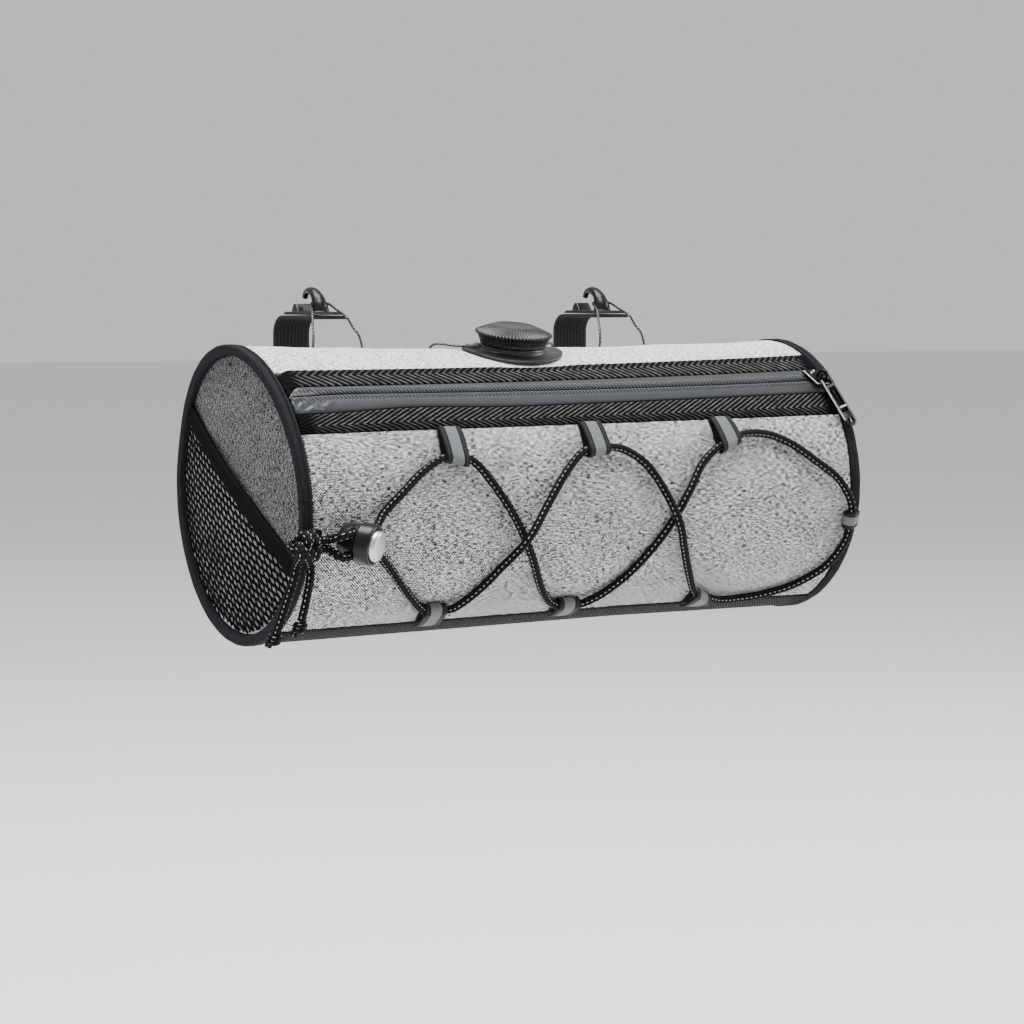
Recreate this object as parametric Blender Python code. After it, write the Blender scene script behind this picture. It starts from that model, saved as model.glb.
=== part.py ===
"""A padded barrel bag that hangs in front of a bicycle's handlebar.

The origin is the middle of the bar that the bag hangs on. +X runs along the bar, -Y is the front and +Z is up.
A place on the bag is given as x along its axis, an angle round it and a height above the cloth. The angle is 0 at the
front, 90 at the top and 180 at the back.
"""

import math

import bmesh
import bpy
from mathutils import Vector

# Clearance between pieces that touch on the real bag
GAP = 0.0003

# The barrel
BAG_LENGTH = 0.250
BAG_RADIUS = 0.055
CLOTH_THICKNESS = 0.0022
TOP_SAG = 0.002
AXIS_AHEAD = 0.0525
AXIS_BELOW = 0.0515
BACK_START = 150.0
TRIM_START = -62.0
TRIM_WIDTH = 0.014
TRIM_THICKNESS = 0.0012

# The ends
BINDING_WIDTH = 0.0044
BINDING_DEPTH = 0.0042
BINDING_PROUD = 0.0007
END_THICKNESS = 0.002
END_DOME = 0.0025
POCKET_THICKNESS = 0.001
POCKET_BULGE = 0.003
POCKET_SLOPE = 31.6
POCKET_EDGE = 0.0058
BAND_WIDTH = 0.0075
BAND_THICKNESS = 0.0014
END_SIDES = 36

# The zip
ZIP_ANGLE = 42.3
ZIP_TWIST = 5.4
WEBBING_UPPER = 0.0083
WEBBING_LOWER = 0.0096
WEBBING_THICKNESS = 0.0014
ZIP_SIDE = 0.0061
ZIP_SIDE_THICKNESS = 0.0016
ZIP_CROWN = 0.0008
SLIDER_FROM_END = 0.0108
SLIDER_LENGTH = 0.0120
SLIDER_WIDTH = 0.0084
SLIDER_THICKNESS = 0.0013
SLIDER_LIFT = 0.0006
PIN_HEIGHT = 0.0018
PIN_OFFSET = 0.0016
BAIL_RADIUS = 0.0022
BAIL_WIRE = 0.0011
PULL_LENGTH = 0.0245
PULL_WIDTH = 0.0056
PULL_THICKNESS = 0.0012
PULL_BAR = 0.0014
PULL_RAIL = 0.0011
PULL_AROUND = 70.3
PULL_DROP = 17.0

# The laced cord
CORD_DIAMETER = 0.0032
RIBBON_WIDTH = 0.0095
RIBBON_THICKNESS = 0.0008
LOOP_CLEARANCE = 0.0008
LOOP_SPACING = 0.0605
RIGHT_LOOP_ANGLE = -16.0
RIGHT_LOOP_WIDTH = 0.0064
RIGHT_LOOP_REACH = 0.0082

# The toggle on the cord
LOCK_X = -0.1065
LOCK_ANGLE = -13.5
LOCK_HEIGHT = 0.0098
LOCK_TURN = 38.0
LOCK_HOLE_TURN = 26.0
LOCK_RADIUS = 0.0078
LOCK_TAIL_RADIUS = 0.0062
LOCK_LENGTH = 0.0135
LOCK_HOLE_OFFSET = 0.0042
LOCK_HOLE_CLEARANCE = 0.0004
LOCK_RIM = 0.0055
LOCK_STEP = 0.0006
LOCK_END_ROUND = 0.0014
BUTTON_RADIUS = 0.0062
BUTTON_PROUD = 0.0022
BUTTON_PRESS = 0.0018
BUTTON_SEAT = 0.0010
KNOT_X = -0.1285
KNOT_ANGLE = -14.2
KNOT_HEIGHT = 0.0092
KNOT_RADII = (0.0070, 0.0062, 0.0064)
END_KNOT_RADIUS = 0.0029

# The dial
DIAL_X = -0.0104
DIAL_ANGLE = 80.0
DIAL_DENT = 0.0024
DIAL_DENT_REACH = 0.030
FLANGE_RADIUS = 0.0209
FLANGE_THICKNESS = 0.0013
COLLAR_RADIUS = 0.0118
COLLAR_HEIGHT = 0.0048
CAP_RADIUS = 0.0152
CAP_HEIGHT = 0.0074
CAP_RIBS = 30
CAP_RIB_DEPTH = 0.0006
CAP_BEVEL = 0.0022
LIP_WIDTH = 0.0022
GUIDE_RADIUS = 0.0016
GUIDE_LENGTH = 0.0062
GUIDE_TURN = 24.0
DIAL_LACE_RUN = 0.012
DIAL_LACE_ANGLE = 17.0
LACE_DIAMETER = 0.001

# The hooks over the bar
BAR_DEPTH = 0.038
BAR_HEIGHT = 0.025
HOOK_SPACING = 0.132
STRAP_WIDTH = 0.016
STRAP_THICKNESS = 0.0014
STRAP_CORNER = 0.007
STRAP_START = 196.0
STRAP_LEAVES = 168.0
STRAP_LOW = 0.18
HOOK_WIDTH = 0.014
HOOK_FRONT = 0.0140
HOOK_REAR = 0.0135
HOOK_BASE = 0.0012
HOOK_EASE = 0.0016
HORN_WIDTH = 0.0075
HORN_HEIGHT = 0.0103
HORN_LENGTH = 0.020
HORN_START = 0.0088
LACE_SPREAD = 0.0140
LACE_ENTERS = 123.0

# One row for each ribbon loop on the front, in shares and degrees: place along the bag in loop spacings, lean of
# the fold in ribbon widths, angle of the cord in the fold, tilt of the fold in degrees
TOP_LOOPS = (
    (-1.02, 0.10, 13.6, -12.0),
    (0.00, 0.25, 15.4, 5.0),
    (0.99, 0.36, 16.6, 20.0),
)
BOTTOM_LOOPS = (
    (-0.98, -0.08, -48.3, 0.0),
    (0.00, -0.05, -50.6, 0.0),
    (1.02, 0.05, -51.4, -29.0),
)

# The cord's route: x in metres, angle in degrees, height of its middle above the cloth in metres
CORD_FROM_LOCK = (
    (-0.0925, -5.2, 0.0021),
    (-0.0850, 1.6, 0.0021),
    (-0.0760, 9.2, 0.0021),
    (-0.0675, 13.8, 0.0031),
    (-0.0612, 14.0, 0.0033),
    (-0.0545, 12.2, 0.0031),
    (-0.0470, 4.5, 0.0021),
    (-0.0390, -6.0, 0.0021),
    (-0.0318, -16.6, 0.0020),
    (-0.0255, -27.0, 0.0020),
    (-0.0190, -38.5, 0.0021),
    (-0.0115, -48.0, 0.0026),
    (-0.0045, -51.0, 0.0033),
    (0.0040, -50.8, 0.0033),
    (0.0130, -45.8, 0.0023),
    (0.0215, -34.5, 0.0020),
    (0.0290, -22.5, 0.0020),
    (0.0352, -12.4, 0.0020),
    (0.0415, -1.5, 0.0020),
    (0.0475, 8.5, 0.0022),
    (0.0545, 14.2, 0.0031),
    (0.0620, 17.4, 0.0033),
    (0.0690, 20.0, 0.0030),
    (0.0800, 19.8, 0.0021),
    (0.0905, 15.8, 0.0021),
    (0.1010, 9.0, 0.0021),
    (0.1118, 1.2, 0.0027),
    (0.1182, -8.0, 0.0032),
    (0.1195, -16.0, 0.0034),
    (0.1188, -24.0, 0.0032),
    (0.1138, -34.4, 0.0025),
    (0.1040, -44.2, 0.0021),
    (0.0935, -51.4, 0.0021),
    (0.0820, -55.2, 0.0022),
    (0.0710, -55.4, 0.0030),
    (0.0620, -51.6, 0.0033),
    (0.0550, -46.8, 0.0031),
    (0.0480, -36.0, 0.0022),
    (0.0415, -24.0, 0.0030),
    (0.0352, -12.4, 0.0055),
    (0.0290, -0.8, 0.0030),
    (0.0215, 9.5, 0.0022),
    (0.0110, 15.6, 0.0031),
    (0.0020, 15.8, 0.0033),
    (-0.0065, 14.6, 0.0031),
    (-0.0150, 6.5, 0.0022),
    (-0.0235, -5.0, 0.0030),
    (-0.0318, -16.6, 0.0055),
    (-0.0395, -28.8, 0.0030),
    (-0.0455, -39.5, 0.0022),
    (-0.0530, -48.0, 0.0033),
    (-0.0595, -48.5, 0.0034),
    (-0.0665, -48.0, 0.0033),
    (-0.0740, -41.5, 0.0021),
    (-0.0820, -32.8, 0.0021),
    (-0.0895, -24.6, 0.0023),
)

# The free tails' routes, in metres from the knot's middle: x, y, z
TAIL_LEFT = (
    (-0.0024, 0.0005, -0.0063),
    (-0.0031, 0.0014, -0.0112),
    (-0.0040, 0.0030, -0.0164),
    (-0.0049, 0.0051, -0.0218),
    (-0.0057, 0.0071, -0.0270),
    (-0.0065, 0.0092, -0.0320),
)
TAIL_RIGHT = (
    (0.0022, -0.0005, -0.0063),
    (0.0024, -0.0007, -0.0106),
    (0.0020, -0.0001, -0.0148),
    (0.0015, 0.0008, -0.0190),
    (0.0010, 0.0017, -0.0232),
    (0.0004, 0.0028, -0.0273),
)

# The horn and the nub from the side: how far along its length and how far up its height, starting at its front foot
HORN_SHARES = (
    (0.00, -0.10),
    (0.04, 0.30),
    (0.11, 0.71),
    (0.21, 0.93),
    (0.33, 1.00),
    (0.50, 0.95),
    (0.62, 0.81),
    (0.69, 0.57),
    (0.655, 0.475),
    (0.59, 0.57),
    (0.50, 0.68),
    (0.40, 0.69),
    (0.32, 0.57),
    (0.30, 0.36),
    (0.33, 0.12),
    (0.39, 0.02),
    (0.69, 0.02),
    (0.78, 0.22),
    (0.85, 0.33),
    (0.915, 0.22),
    (1.00, 0.02),
    (1.00, -0.10),
)
# Where the horn's inner face stands, as a share of its length
HORN_MOUTH = 0.30

COLOURS = {
    "heather": ((0.33, 0.34, 0.35), 0.9, 0.0),
    "black_cloth": ((0.02, 0.02, 0.022), 0.85, 0.0),
    "binding": ((0.035, 0.038, 0.047), 0.8, 0.0),
    "webbing": ((0.05, 0.052, 0.058), 0.75, 0.0),
    "coated_zip": ((0.10, 0.11, 0.13), 0.45, 0.0),
    "net": ((0.025, 0.025, 0.027), 0.8, 0.0),
    "ribbon": ((0.16, 0.165, 0.17), 0.6, 0.0),
    "cord": ((0.02, 0.02, 0.022), 0.7, 0.0),
    "dark_plastic": ((0.022, 0.023, 0.025), 0.45, 0.0),
    "gloss_plastic": ((0.012, 0.012, 0.014), 0.2, 0.0),
    "dark_metal": ((0.03, 0.031, 0.034), 0.3, 0.9),
    "metal": ((0.45, 0.46, 0.48), 0.25, 1.0),
    "lace": ((0.06, 0.062, 0.066), 0.3, 0.9),
}


def material(slot):
    """The slot's own material, made once."""
    colour, roughness, metallic = COLOURS[slot]
    made = bpy.data.materials.get(slot)
    if made is None:
        made = bpy.data.materials.new(slot)
        made.use_nodes = True
        shader = made.node_tree.nodes["Principled BSDF"]
        shader.inputs["Base Color"].default_value = (*colour, 1.0)
        shader.inputs["Roughness"].default_value = roughness
        shader.inputs["Metallic"].default_value = metallic
    return made


def finish(name, bm, slot, smooth=40.0):
    """One closed mesh as one object."""
    bmesh.ops.recalc_face_normals(bm, faces=bm.faces)
    mesh = bpy.data.meshes.new(name)
    bm.to_mesh(mesh)
    bm.free()
    mesh.shade_smooth()
    mesh.set_sharp_from_angle(angle=math.radians(smooth))
    mesh.materials.append(material(slot))
    made = bpy.data.objects.new(name, mesh)
    bpy.context.scene.collection.objects.link(made)
    return made


def wide(length):
    """A length along the cloth as degrees round the bag."""
    return math.degrees(length / BAG_RADIUS)


def skin(x, angle):
    """Radius of the cloth's outer face: round, with a dip along the crest and a dent under the dial."""
    along = max(0.0, 1.0 - (2.0 * x / BAG_LENGTH) ** 2)
    over = max(0.0, math.cos(math.radians(0.75 * (angle - 90.0)))) ** 3
    across = BAG_RADIUS * math.radians(angle - DIAL_ANGLE)
    reach = math.hypot(x - DIAL_X, across) / DIAL_DENT_REACH
    dent = DIAL_DENT * math.cos(0.5 * math.pi * min(reach, 1.0)) ** 2
    return BAG_RADIUS - TOP_SAG * along * over - dent


def outward(angle):
    turn = math.radians(angle)
    return Vector((0.0, -math.cos(turn), math.sin(turn)))


def downhill(angle):
    """Along the cloth towards a smaller angle."""
    turn = math.radians(angle)
    return Vector((0.0, -math.sin(turn), -math.cos(turn)))


def from_axis(x, y, z):
    """A place measured from the middle of the bag's own axis."""
    return Vector((x, y - AXIS_AHEAD, z - AXIS_BELOW))


def place(x, angle, height=0.0):
    return from_axis(x, 0.0, 0.0) + outward(angle) * (skin(x, angle) + height)


def steps(first, last, count):
    return [first + (last - first) * k / count for k in range(count + 1)]


def closed_sheet(name, outer, inner, slot):
    """A closed wall from two grids of points with the same rows."""
    bm = bmesh.new()
    grids = [[[bm.verts.new(p) for p in row] for row in grid] for grid in (outer, inner)]
    rows, columns = len(outer), len(outer[0])
    for grid in grids:
        for i in range(rows - 1):
            for j in range(columns - 1):
                bm.faces.new((grid[i][j], grid[i + 1][j], grid[i + 1][j + 1], grid[i][j + 1]))
    rim = [(i, 0) for i in range(rows)]
    rim += [(rows - 1, j) for j in range(1, columns)]
    rim += [(i, columns - 1) for i in range(rows - 2, -1, -1)]
    rim += [(0, j) for j in range(columns - 2, 0, -1)]
    for (i, j), (k, m) in zip(rim, rim[1:] + rim[:1]):
        bm.faces.new((grids[0][i][j], grids[0][k][m], grids[1][k][m], grids[1][i][j]))
    return finish(name, bm, slot)


def wall_stations(count):
    end = BAG_LENGTH / 2 - BINDING_WIDTH - GAP
    return steps(-end, end, count)


def crest_stations():
    """Stations along the bag that lie closer together in the dial's dent."""
    first, *_, last = wall_stations(1)
    near = [DIAL_X + DIAL_DENT_REACH * share for share in (-1.25, -0.8, -0.45, -0.15, 0.15, 0.45, 0.8, 1.25)]
    return steps(first, near[0], 4)[:-1] + near + steps(near[-1], last, 4)[1:]


def bag_patch(name, low, high, spans, top, bottom, slot, stations, crown=0.0):
    """A piece of wall that follows the barrel between two edges, each an angle that may change with x."""
    outer, inner = [], []
    for x in stations:
        angles = steps(low(x), high(x), spans)
        swell = [crown * math.sin(math.pi * k / spans) for k in range(spans + 1)]
        outer.append([place(x, a, top + s) for a, s in zip(angles, swell)])
        inner.append([place(x, a, bottom) for a in angles])
    return closed_sheet(name, outer, inner, slot)


def zip_edge(offset):
    """An edge that runs along the zip, this far above its middle along the cloth."""
    return lambda x: ZIP_ANGLE + ZIP_TWIST * x / BAG_LENGTH + wide(offset)


def level(angle):
    return lambda x: angle


def zip_offsets():
    """The zip's edges from the top panel down, measured along the cloth from the middle of the whole strip."""
    edges = [(WEBBING_UPPER + 2 * ZIP_SIDE + WEBBING_LOWER) / 2]
    for width in (WEBBING_UPPER, ZIP_SIDE, ZIP_SIDE, WEBBING_LOWER):
        edges.append(edges[-1] - width)
    return edges


def make_walls():
    half = GAP / 2
    edges = zip_offsets()
    trim_end = TRIM_START - wide(TRIM_WIDTH)
    bag_patch("front_panel", level(TRIM_START + wide(half)), zip_edge(edges[4] - half), 10,
              0.0, -CLOTH_THICKNESS, "heather", wall_stations(10))
    bag_patch("top_panel", zip_edge(edges[0] + half), level(BACK_START - wide(half)), 10,
              0.0, -CLOTH_THICKNESS, "heather", crest_stations())
    bag_patch("back_panel", level(BACK_START + wide(half)), level(360.0 + trim_end - wide(half)), 18,
              0.0, -CLOTH_THICKNESS, "black_cloth", wall_stations(6))
    bag_patch("bottom_trim", level(trim_end + wide(half)), level(TRIM_START - wide(half)), 3,
              TRIM_THICKNESS / 2, -TRIM_THICKNESS, "webbing", wall_stations(10))


def make_zip():
    half = GAP / 2
    edges = zip_offsets()
    rows = (
        ("zip_webbing_upper", 0, WEBBING_THICKNESS, 0.0, "webbing"),
        ("zip_side_upper", 1, ZIP_SIDE_THICKNESS, ZIP_CROWN, "coated_zip"),
        ("zip_side_lower", 2, ZIP_SIDE_THICKNESS, ZIP_CROWN, "coated_zip"),
        ("zip_webbing_lower", 3, WEBBING_THICKNESS, 0.0, "webbing"),
    )
    for name, k, thick, crown, slot in rows:
        bag_patch(name, zip_edge(edges[k + 1] + half), zip_edge(edges[k] - half), 3,
                  0.0, -thick, slot, wall_stations(12), crown)


def turned(name, profile, count, at, slot):
    """A closed profile of (radius, height) pairs turned about an axis that at() places."""
    bm = bmesh.new()
    rings = []
    for k in range(count):
        turn = 2.0 * math.pi * k / count
        rings.append([bm.verts.new(at(r, turn, h)) for r, h in profile])
    for k in range(count):
        ring, following = rings[k], rings[(k + 1) % count]
        for j in range(len(profile)):
            m = (j + 1) % len(profile)
            bm.faces.new((ring[j], following[j], following[m], ring[m]))
    return finish(name, bm, slot)


def disc(name, profile, count, at, slot, cut=None):
    """A solid turned about an axis: a profile from the middle of its top to the middle of its underside."""
    bm = bmesh.new()
    rings = []
    for k in range(count):
        turn = 2.0 * math.pi * k / count
        ring = []
        for r, h in profile[1:-1]:
            inset = cut(k, r, h) if cut else 0.0
            ring.append(bm.verts.new(at(r - inset, turn, h)))
        rings.append(ring)
    top = bm.verts.new(at(0.0, 0.0, profile[0][1]))
    bottom = bm.verts.new(at(0.0, 0.0, profile[-1][1]))
    for k in range(count):
        ring, following = rings[k], rings[(k + 1) % count]
        bm.faces.new((top, ring[0], following[0]))
        bm.faces.new((bottom, following[-1], ring[-1]))
        for j in range(len(ring) - 1):
            bm.faces.new((ring[j], ring[j + 1], following[j + 1], following[j]))
    return finish(name, bm, slot)


def end_frame(side):
    """Places radius, turn and height outwards on one end of the bag."""
    def at(radius, turn, height):
        return from_axis(side * (BAG_LENGTH / 2 - BINDING_WIDTH + height),
                         -radius * math.cos(turn), radius * math.sin(turn))
    return at


def end_radius():
    return BAG_RADIUS + BINDING_PROUD - BINDING_DEPTH - GAP


def dome(radius):
    """Height of the end panel's outer face at a radius."""
    share = min(radius / end_radius(), 1.0)
    return END_THICKNESS + END_DOME * (1.0 - share ** 2)


def make_ends():
    outer = BAG_RADIUS + BINDING_PROUD
    inner = outer - BINDING_DEPTH
    bevel = BINDING_WIDTH / 4
    profile = (
        (inner, 0.0),
        (outer - bevel, 0.0),
        (outer, bevel),
        (outer, BINDING_WIDTH - bevel),
        (outer - bevel, BINDING_WIDTH),
        (inner, BINDING_WIDTH),
    )
    radii = [end_radius() * share for share in (0.35, 0.7, 1.0)]
    panel = [(0.0, dome(0.0))] + [(r, dome(r)) for r in radii]
    panel += [(r, dome(r) - END_THICKNESS) for r in reversed(radii)] + [(0.0, END_DOME)]
    for side, label in ((-1.0, "left"), (1.0, "right")):
        turned("binding_" + label, profile, END_SIDES, end_frame(side), "binding")
        disc("end_panel_" + label, panel, END_SIDES, end_frame(side), "heather")


def pocket_point(along, across, height):
    """A place on the left end: along the pocket's edge, and across it towards the bottom."""
    slope = math.radians(POCKET_SLOPE)
    y = along * math.cos(slope) + across * math.sin(slope)
    z = along * math.sin(slope) - across * math.cos(slope)
    out = dome(math.hypot(along, across)) + height
    return from_axis(-(BAG_LENGTH / 2 - BINDING_WIDTH + out), y, z)


def chord(across):
    reach = end_radius() - GAP
    return math.sqrt(max(reach ** 2 - across ** 2, 0.0))


def make_pocket():
    """The net below a slanting edge, and the elastic band along that edge."""
    first = BAND_WIDTH - POCKET_EDGE + GAP
    rows = steps(first, 0.97 * end_radius(), 7)
    outer, inner = [], []
    for across in rows:
        line = [share * chord(across) for share in steps(-1.0, 1.0, 12)]
        swell = [POCKET_BULGE * max(0.0, 1.0 - (math.hypot(s, across) / end_radius()) ** 2) for s in line]
        lift = GAP + POCKET_THICKNESS
        outer.append([pocket_point(s, across, lift + b) for s, b in zip(line, swell)])
        inner.append([pocket_point(s, across, GAP + b) for s, b in zip(line, swell)])
    closed_sheet("pocket_mesh", outer, inner, "net")
    outer, inner = [], []
    for across in steps(-POCKET_EDGE, BAND_WIDTH - POCKET_EDGE, 2):
        line = [share * chord(across) for share in steps(-1.0, 1.0, 16)]
        swell = [POCKET_BULGE * max(0.0, 1.0 - (s / end_radius()) ** 2) * 0.9 for s in line]
        outer.append([pocket_point(s, across, GAP + b + BAND_THICKNESS) for s, b in zip(line, swell)])
        inner.append([pocket_point(s, across, GAP + b) for s, b in zip(line, swell)])
    closed_sheet("pocket_band", outer, inner, "webbing")


def ribbon(name, centres, to_world, thick, width, slot, spans=1):
    """A strip of even thickness along a line of (s, h) places, spread sideways by to_world(s, h, v)."""
    count = len(centres)
    sides = []
    for k, (s, h) in enumerate(centres):
        before, after = centres[max(k - 1, 0)], centres[min(k + 1, count - 1)]
        ds, dh = after[0] - before[0], after[1] - before[1]
        size = math.hypot(ds, dh)
        sides.append((-dh / size * thick / 2, ds / size * thick / 2))
    widths = steps(-width / 2, width / 2, spans)
    outer = [[to_world(s + n, h + m, v) for v in widths] for (s, h), (n, m) in zip(centres, sides)]
    inner = [[to_world(s - n, h - m, v) for v in widths] for (s, h), (n, m) in zip(centres, sides)]
    return closed_sheet(name, outer, inner, slot)


def loop_centres(reach, root_low, root_high):
    """The middle line of a folded ribbon: under the cord, round it and back above it."""
    low = GAP + RIBBON_THICKNESS / 2
    radius = CORD_DIAMETER / 2 + LOOP_CLEARANCE + RIBBON_THICKNESS / 2
    line = [(0.0, root_low), (reach * 0.5, low)]
    for k in range(9):
        turn = math.radians(-90.0 + 180.0 * k / 8)
        line.append((reach + radius * math.cos(turn), low + radius + radius * math.sin(turn)))
    for share in (0.72, 0.45, 0.2):
        line.append((reach * share, root_high + (low + 2 * radius - root_high) * share ** 0.8))
    line.append((0.0, root_high))
    return line


def make_loops():
    low = GAP + RIBBON_THICKNESS / 2
    high = low + RIBBON_THICKNESS + GAP
    top_root = zip_edge(zip_offsets()[4] - GAP)
    for label, table, sense in (("loop_top_", TOP_LOOPS, 1.0), ("loop_bottom_", BOTTOM_LOOPS, -1.0)):
        for k, (share, lean, fold, tilt) in enumerate(table):
            x0 = share * LOOP_SPACING
            root = top_root(x0) if sense > 0 else TRIM_START + wide(GAP)
            reach = abs(math.radians(root - fold)) * BAG_RADIUS
            slope = math.tan(math.radians(tilt))

            def to_world(s, h, v, x0=x0, root=root, reach=reach, slope=slope, lean=lean, sense=sense):
                share = min(max(s / reach, 0.0), 1.0)
                x = x0 + v + lean * RIBBON_WIDTH * share
                return place(x, root - sense * wide(s) + wide(slope * v) * share, h)

            ribbon(label + str(k + 1), loop_centres(reach, low, high), to_world,
                   RIBBON_THICKNESS, RIBBON_WIDTH, "ribbon", 2)


def make_right_loop():
    """The loop at the right end, which starts on the binding and folds round the cord towards the middle."""
    edge = BAG_LENGTH / 2 - BINDING_WIDTH - GAP
    low = GAP + RIBBON_THICKNESS / 2
    radius = CORD_DIAMETER / 2 + LOOP_CLEARANCE + RIBBON_THICKNESS / 2
    middle = RIGHT_LOOP_REACH - BINDING_WIDTH - radius
    over = BINDING_PROUD + GAP + RIBBON_THICKNESS / 2
    line = [(GAP, low)]
    for k in range(9):
        turn = math.radians(-90.0 + 180.0 * k / 8)
        line.append((middle + radius * math.cos(turn), low + radius + radius * math.sin(turn)))
    line.append((middle * 0.3, low + 1.9 * radius))
    line.append((-BINDING_WIDTH * 0.4, over + radius * 0.8))
    line.append((-BINDING_WIDTH * 0.85, over + GAP))

    def to_world(s, h, v):
        return place(edge - s, RIGHT_LOOP_ANGLE + wide(v), h)

    ribbon("loop_right", line, to_world, RIBBON_THICKNESS, RIGHT_LOOP_WIDTH, "ribbon", 2)


def spline_points(route, spacing):
    """Evenly spaced points of a smooth curve through a route."""
    dense = []
    for k in range(len(route) - 1):
        a, b = route[max(k - 1, 0)], route[k]
        c, d = route[k + 1], route[min(k + 2, len(route) - 1)]
        for j in range(12):
            t = j / 12
            dense.append(0.5 * ((2 * b) + (c - a) * t + (2 * a - 5 * b + 4 * c - d) * t ** 2
                                + (3 * b - a - 3 * c + d) * t ** 3))
    dense.append(route[-1])
    lengths = [0.0]
    for p, q in zip(dense, dense[1:]):
        lengths.append(lengths[-1] + (q - p).length)
    count = max(3, round(lengths[-1] / spacing))
    made, k = [], 0
    for j in range(count + 1):
        want = lengths[-1] * j / count
        while k < len(lengths) - 2 and lengths[k + 1] < want:
            k += 1
        share = (want - lengths[k]) / max(lengths[k + 1] - lengths[k], 1e-9)
        made.append(dense[k].lerp(dense[k + 1], min(share, 1.0)))
    return made


def tube(name, points, diameter, slot):
    """A round cord or lace as a curve with filled caps."""
    curve = bpy.data.curves.new(name, "CURVE")
    curve.dimensions = "3D"
    curve.bevel_depth = diameter / 2
    curve.bevel_resolution = 2
    curve.use_fill_caps = True
    spline = curve.splines.new("POLY")
    spline.points.add(len(points) - 1)
    for point, at in zip(spline.points, points):
        point.co = (*at, 1.0)
    curve.materials.append(material(slot))
    made = bpy.data.objects.new(name, curve)
    bpy.context.scene.collection.objects.link(made)
    return made


def lock_frame():
    """The toggle's middle, its own axis, the way its holes run and the way its two holes are apart."""
    out = outward(LOCK_ANGLE)
    turn = math.radians(LOCK_TURN)
    right = Vector((1.0, 0.0, 0.0))
    axis = out * math.cos(turn) + right * math.sin(turn)
    across = math.radians(LOCK_HOLE_TURN)
    holes = right * math.cos(across) - out * math.sin(across)
    return place(LOCK_X, LOCK_ANGLE, LOCK_HEIGHT), axis, holes, -downhill(LOCK_ANGLE)


def knot_place():
    """The knot's middle, left of the toggle and over the left binding."""
    return place(KNOT_X, KNOT_ANGLE, KNOT_HEIGHT)


def make_cord():
    middle, _, holes, apart = lock_frame()
    knot = knot_place()
    upper, lower = apart * LOCK_HOLE_OFFSET, -apart * LOCK_HOLE_OFFSET
    reach = LOCK_RADIUS + CORD_DIAMETER / 2
    towards = (knot - middle).normalized()

    def strand(offset):
        near = knot - towards * (KNOT_RADII[0] + 2 * GAP) + offset * 0.42
        return [near, near - towards * CORD_DIAMETER * 0.8, middle + offset - holes * reach,
                middle + offset, middle + offset + holes * reach]

    laced = [place(x, angle, height) for x, angle, height in CORD_FROM_LOCK]
    route = strand(upper) + laced + list(reversed(strand(lower)))
    tube("shock_cord", spline_points(route, 2.75 * CORD_DIAMETER), CORD_DIAMETER, "cord")
    for label, tail in (("left", TAIL_LEFT), ("right", TAIL_RIGHT)):
        points = [knot + Vector(p) for p in tail]
        tube("cord_tail_" + label, spline_points(points, 1.6 * CORD_DIAMETER), CORD_DIAMETER, "cord")
        drop = (points[-1] - points[-2]).normalized()
        lump("tail_end_" + label, points[-1] + drop * (END_KNOT_RADIUS + GAP), drop,
             (END_KNOT_RADIUS, END_KNOT_RADIUS, END_KNOT_RADIUS), "cord", 10, 5)
    lump("cord_knot", knot, towards, KNOT_RADII, "cord", 14, 8)


def lump(name, middle, along, radii, slot, count, rings):
    """A rounded knot: its first radius lies along a given direction."""
    side = along.cross(outward(LOCK_ANGLE)).normalized()
    other = along.cross(side).normalized()

    def at(radius, turn, height):
        return (middle + along * height + side * radius * math.cos(turn) * radii[1] / radii[2]
                + other * radius * math.sin(turn))

    profile = []
    for turn in steps(90.0, -90.0, rings):
        angle = math.radians(turn)
        profile.append((radii[2] * math.cos(angle) ** 0.7 if abs(turn) < 89.0 else 0.0,
                        radii[0] * math.sin(angle)))
    disc(name, profile, count, at, slot)


def about(middle, axis, zero):
    """Places radius, turn and height about any axis."""
    side = axis.cross(zero).normalized()

    def at(radius, turn, height):
        return middle + axis * height + zero * radius * math.cos(turn) + side * radius * math.sin(turn)
    return at


def union(target, others, operation="UNION"):
    for other in others:
        step = target.modifiers.new(other.name, "BOOLEAN")
        step.operation = operation
        step.object = other
        other.hide_render = True
        other.display_type = "WIRE"


def rod(name, start, end, radius, slot, count=12):
    """A plain round rod between two places."""
    axis = (end - start).normalized()
    zero = axis.orthogonal().normalized()
    length = (end - start).length
    return disc(name, [(0.0, length), (radius, length), (radius, 0.0), (0.0, 0.0)], count,
                about(start, axis, zero), slot)


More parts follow.
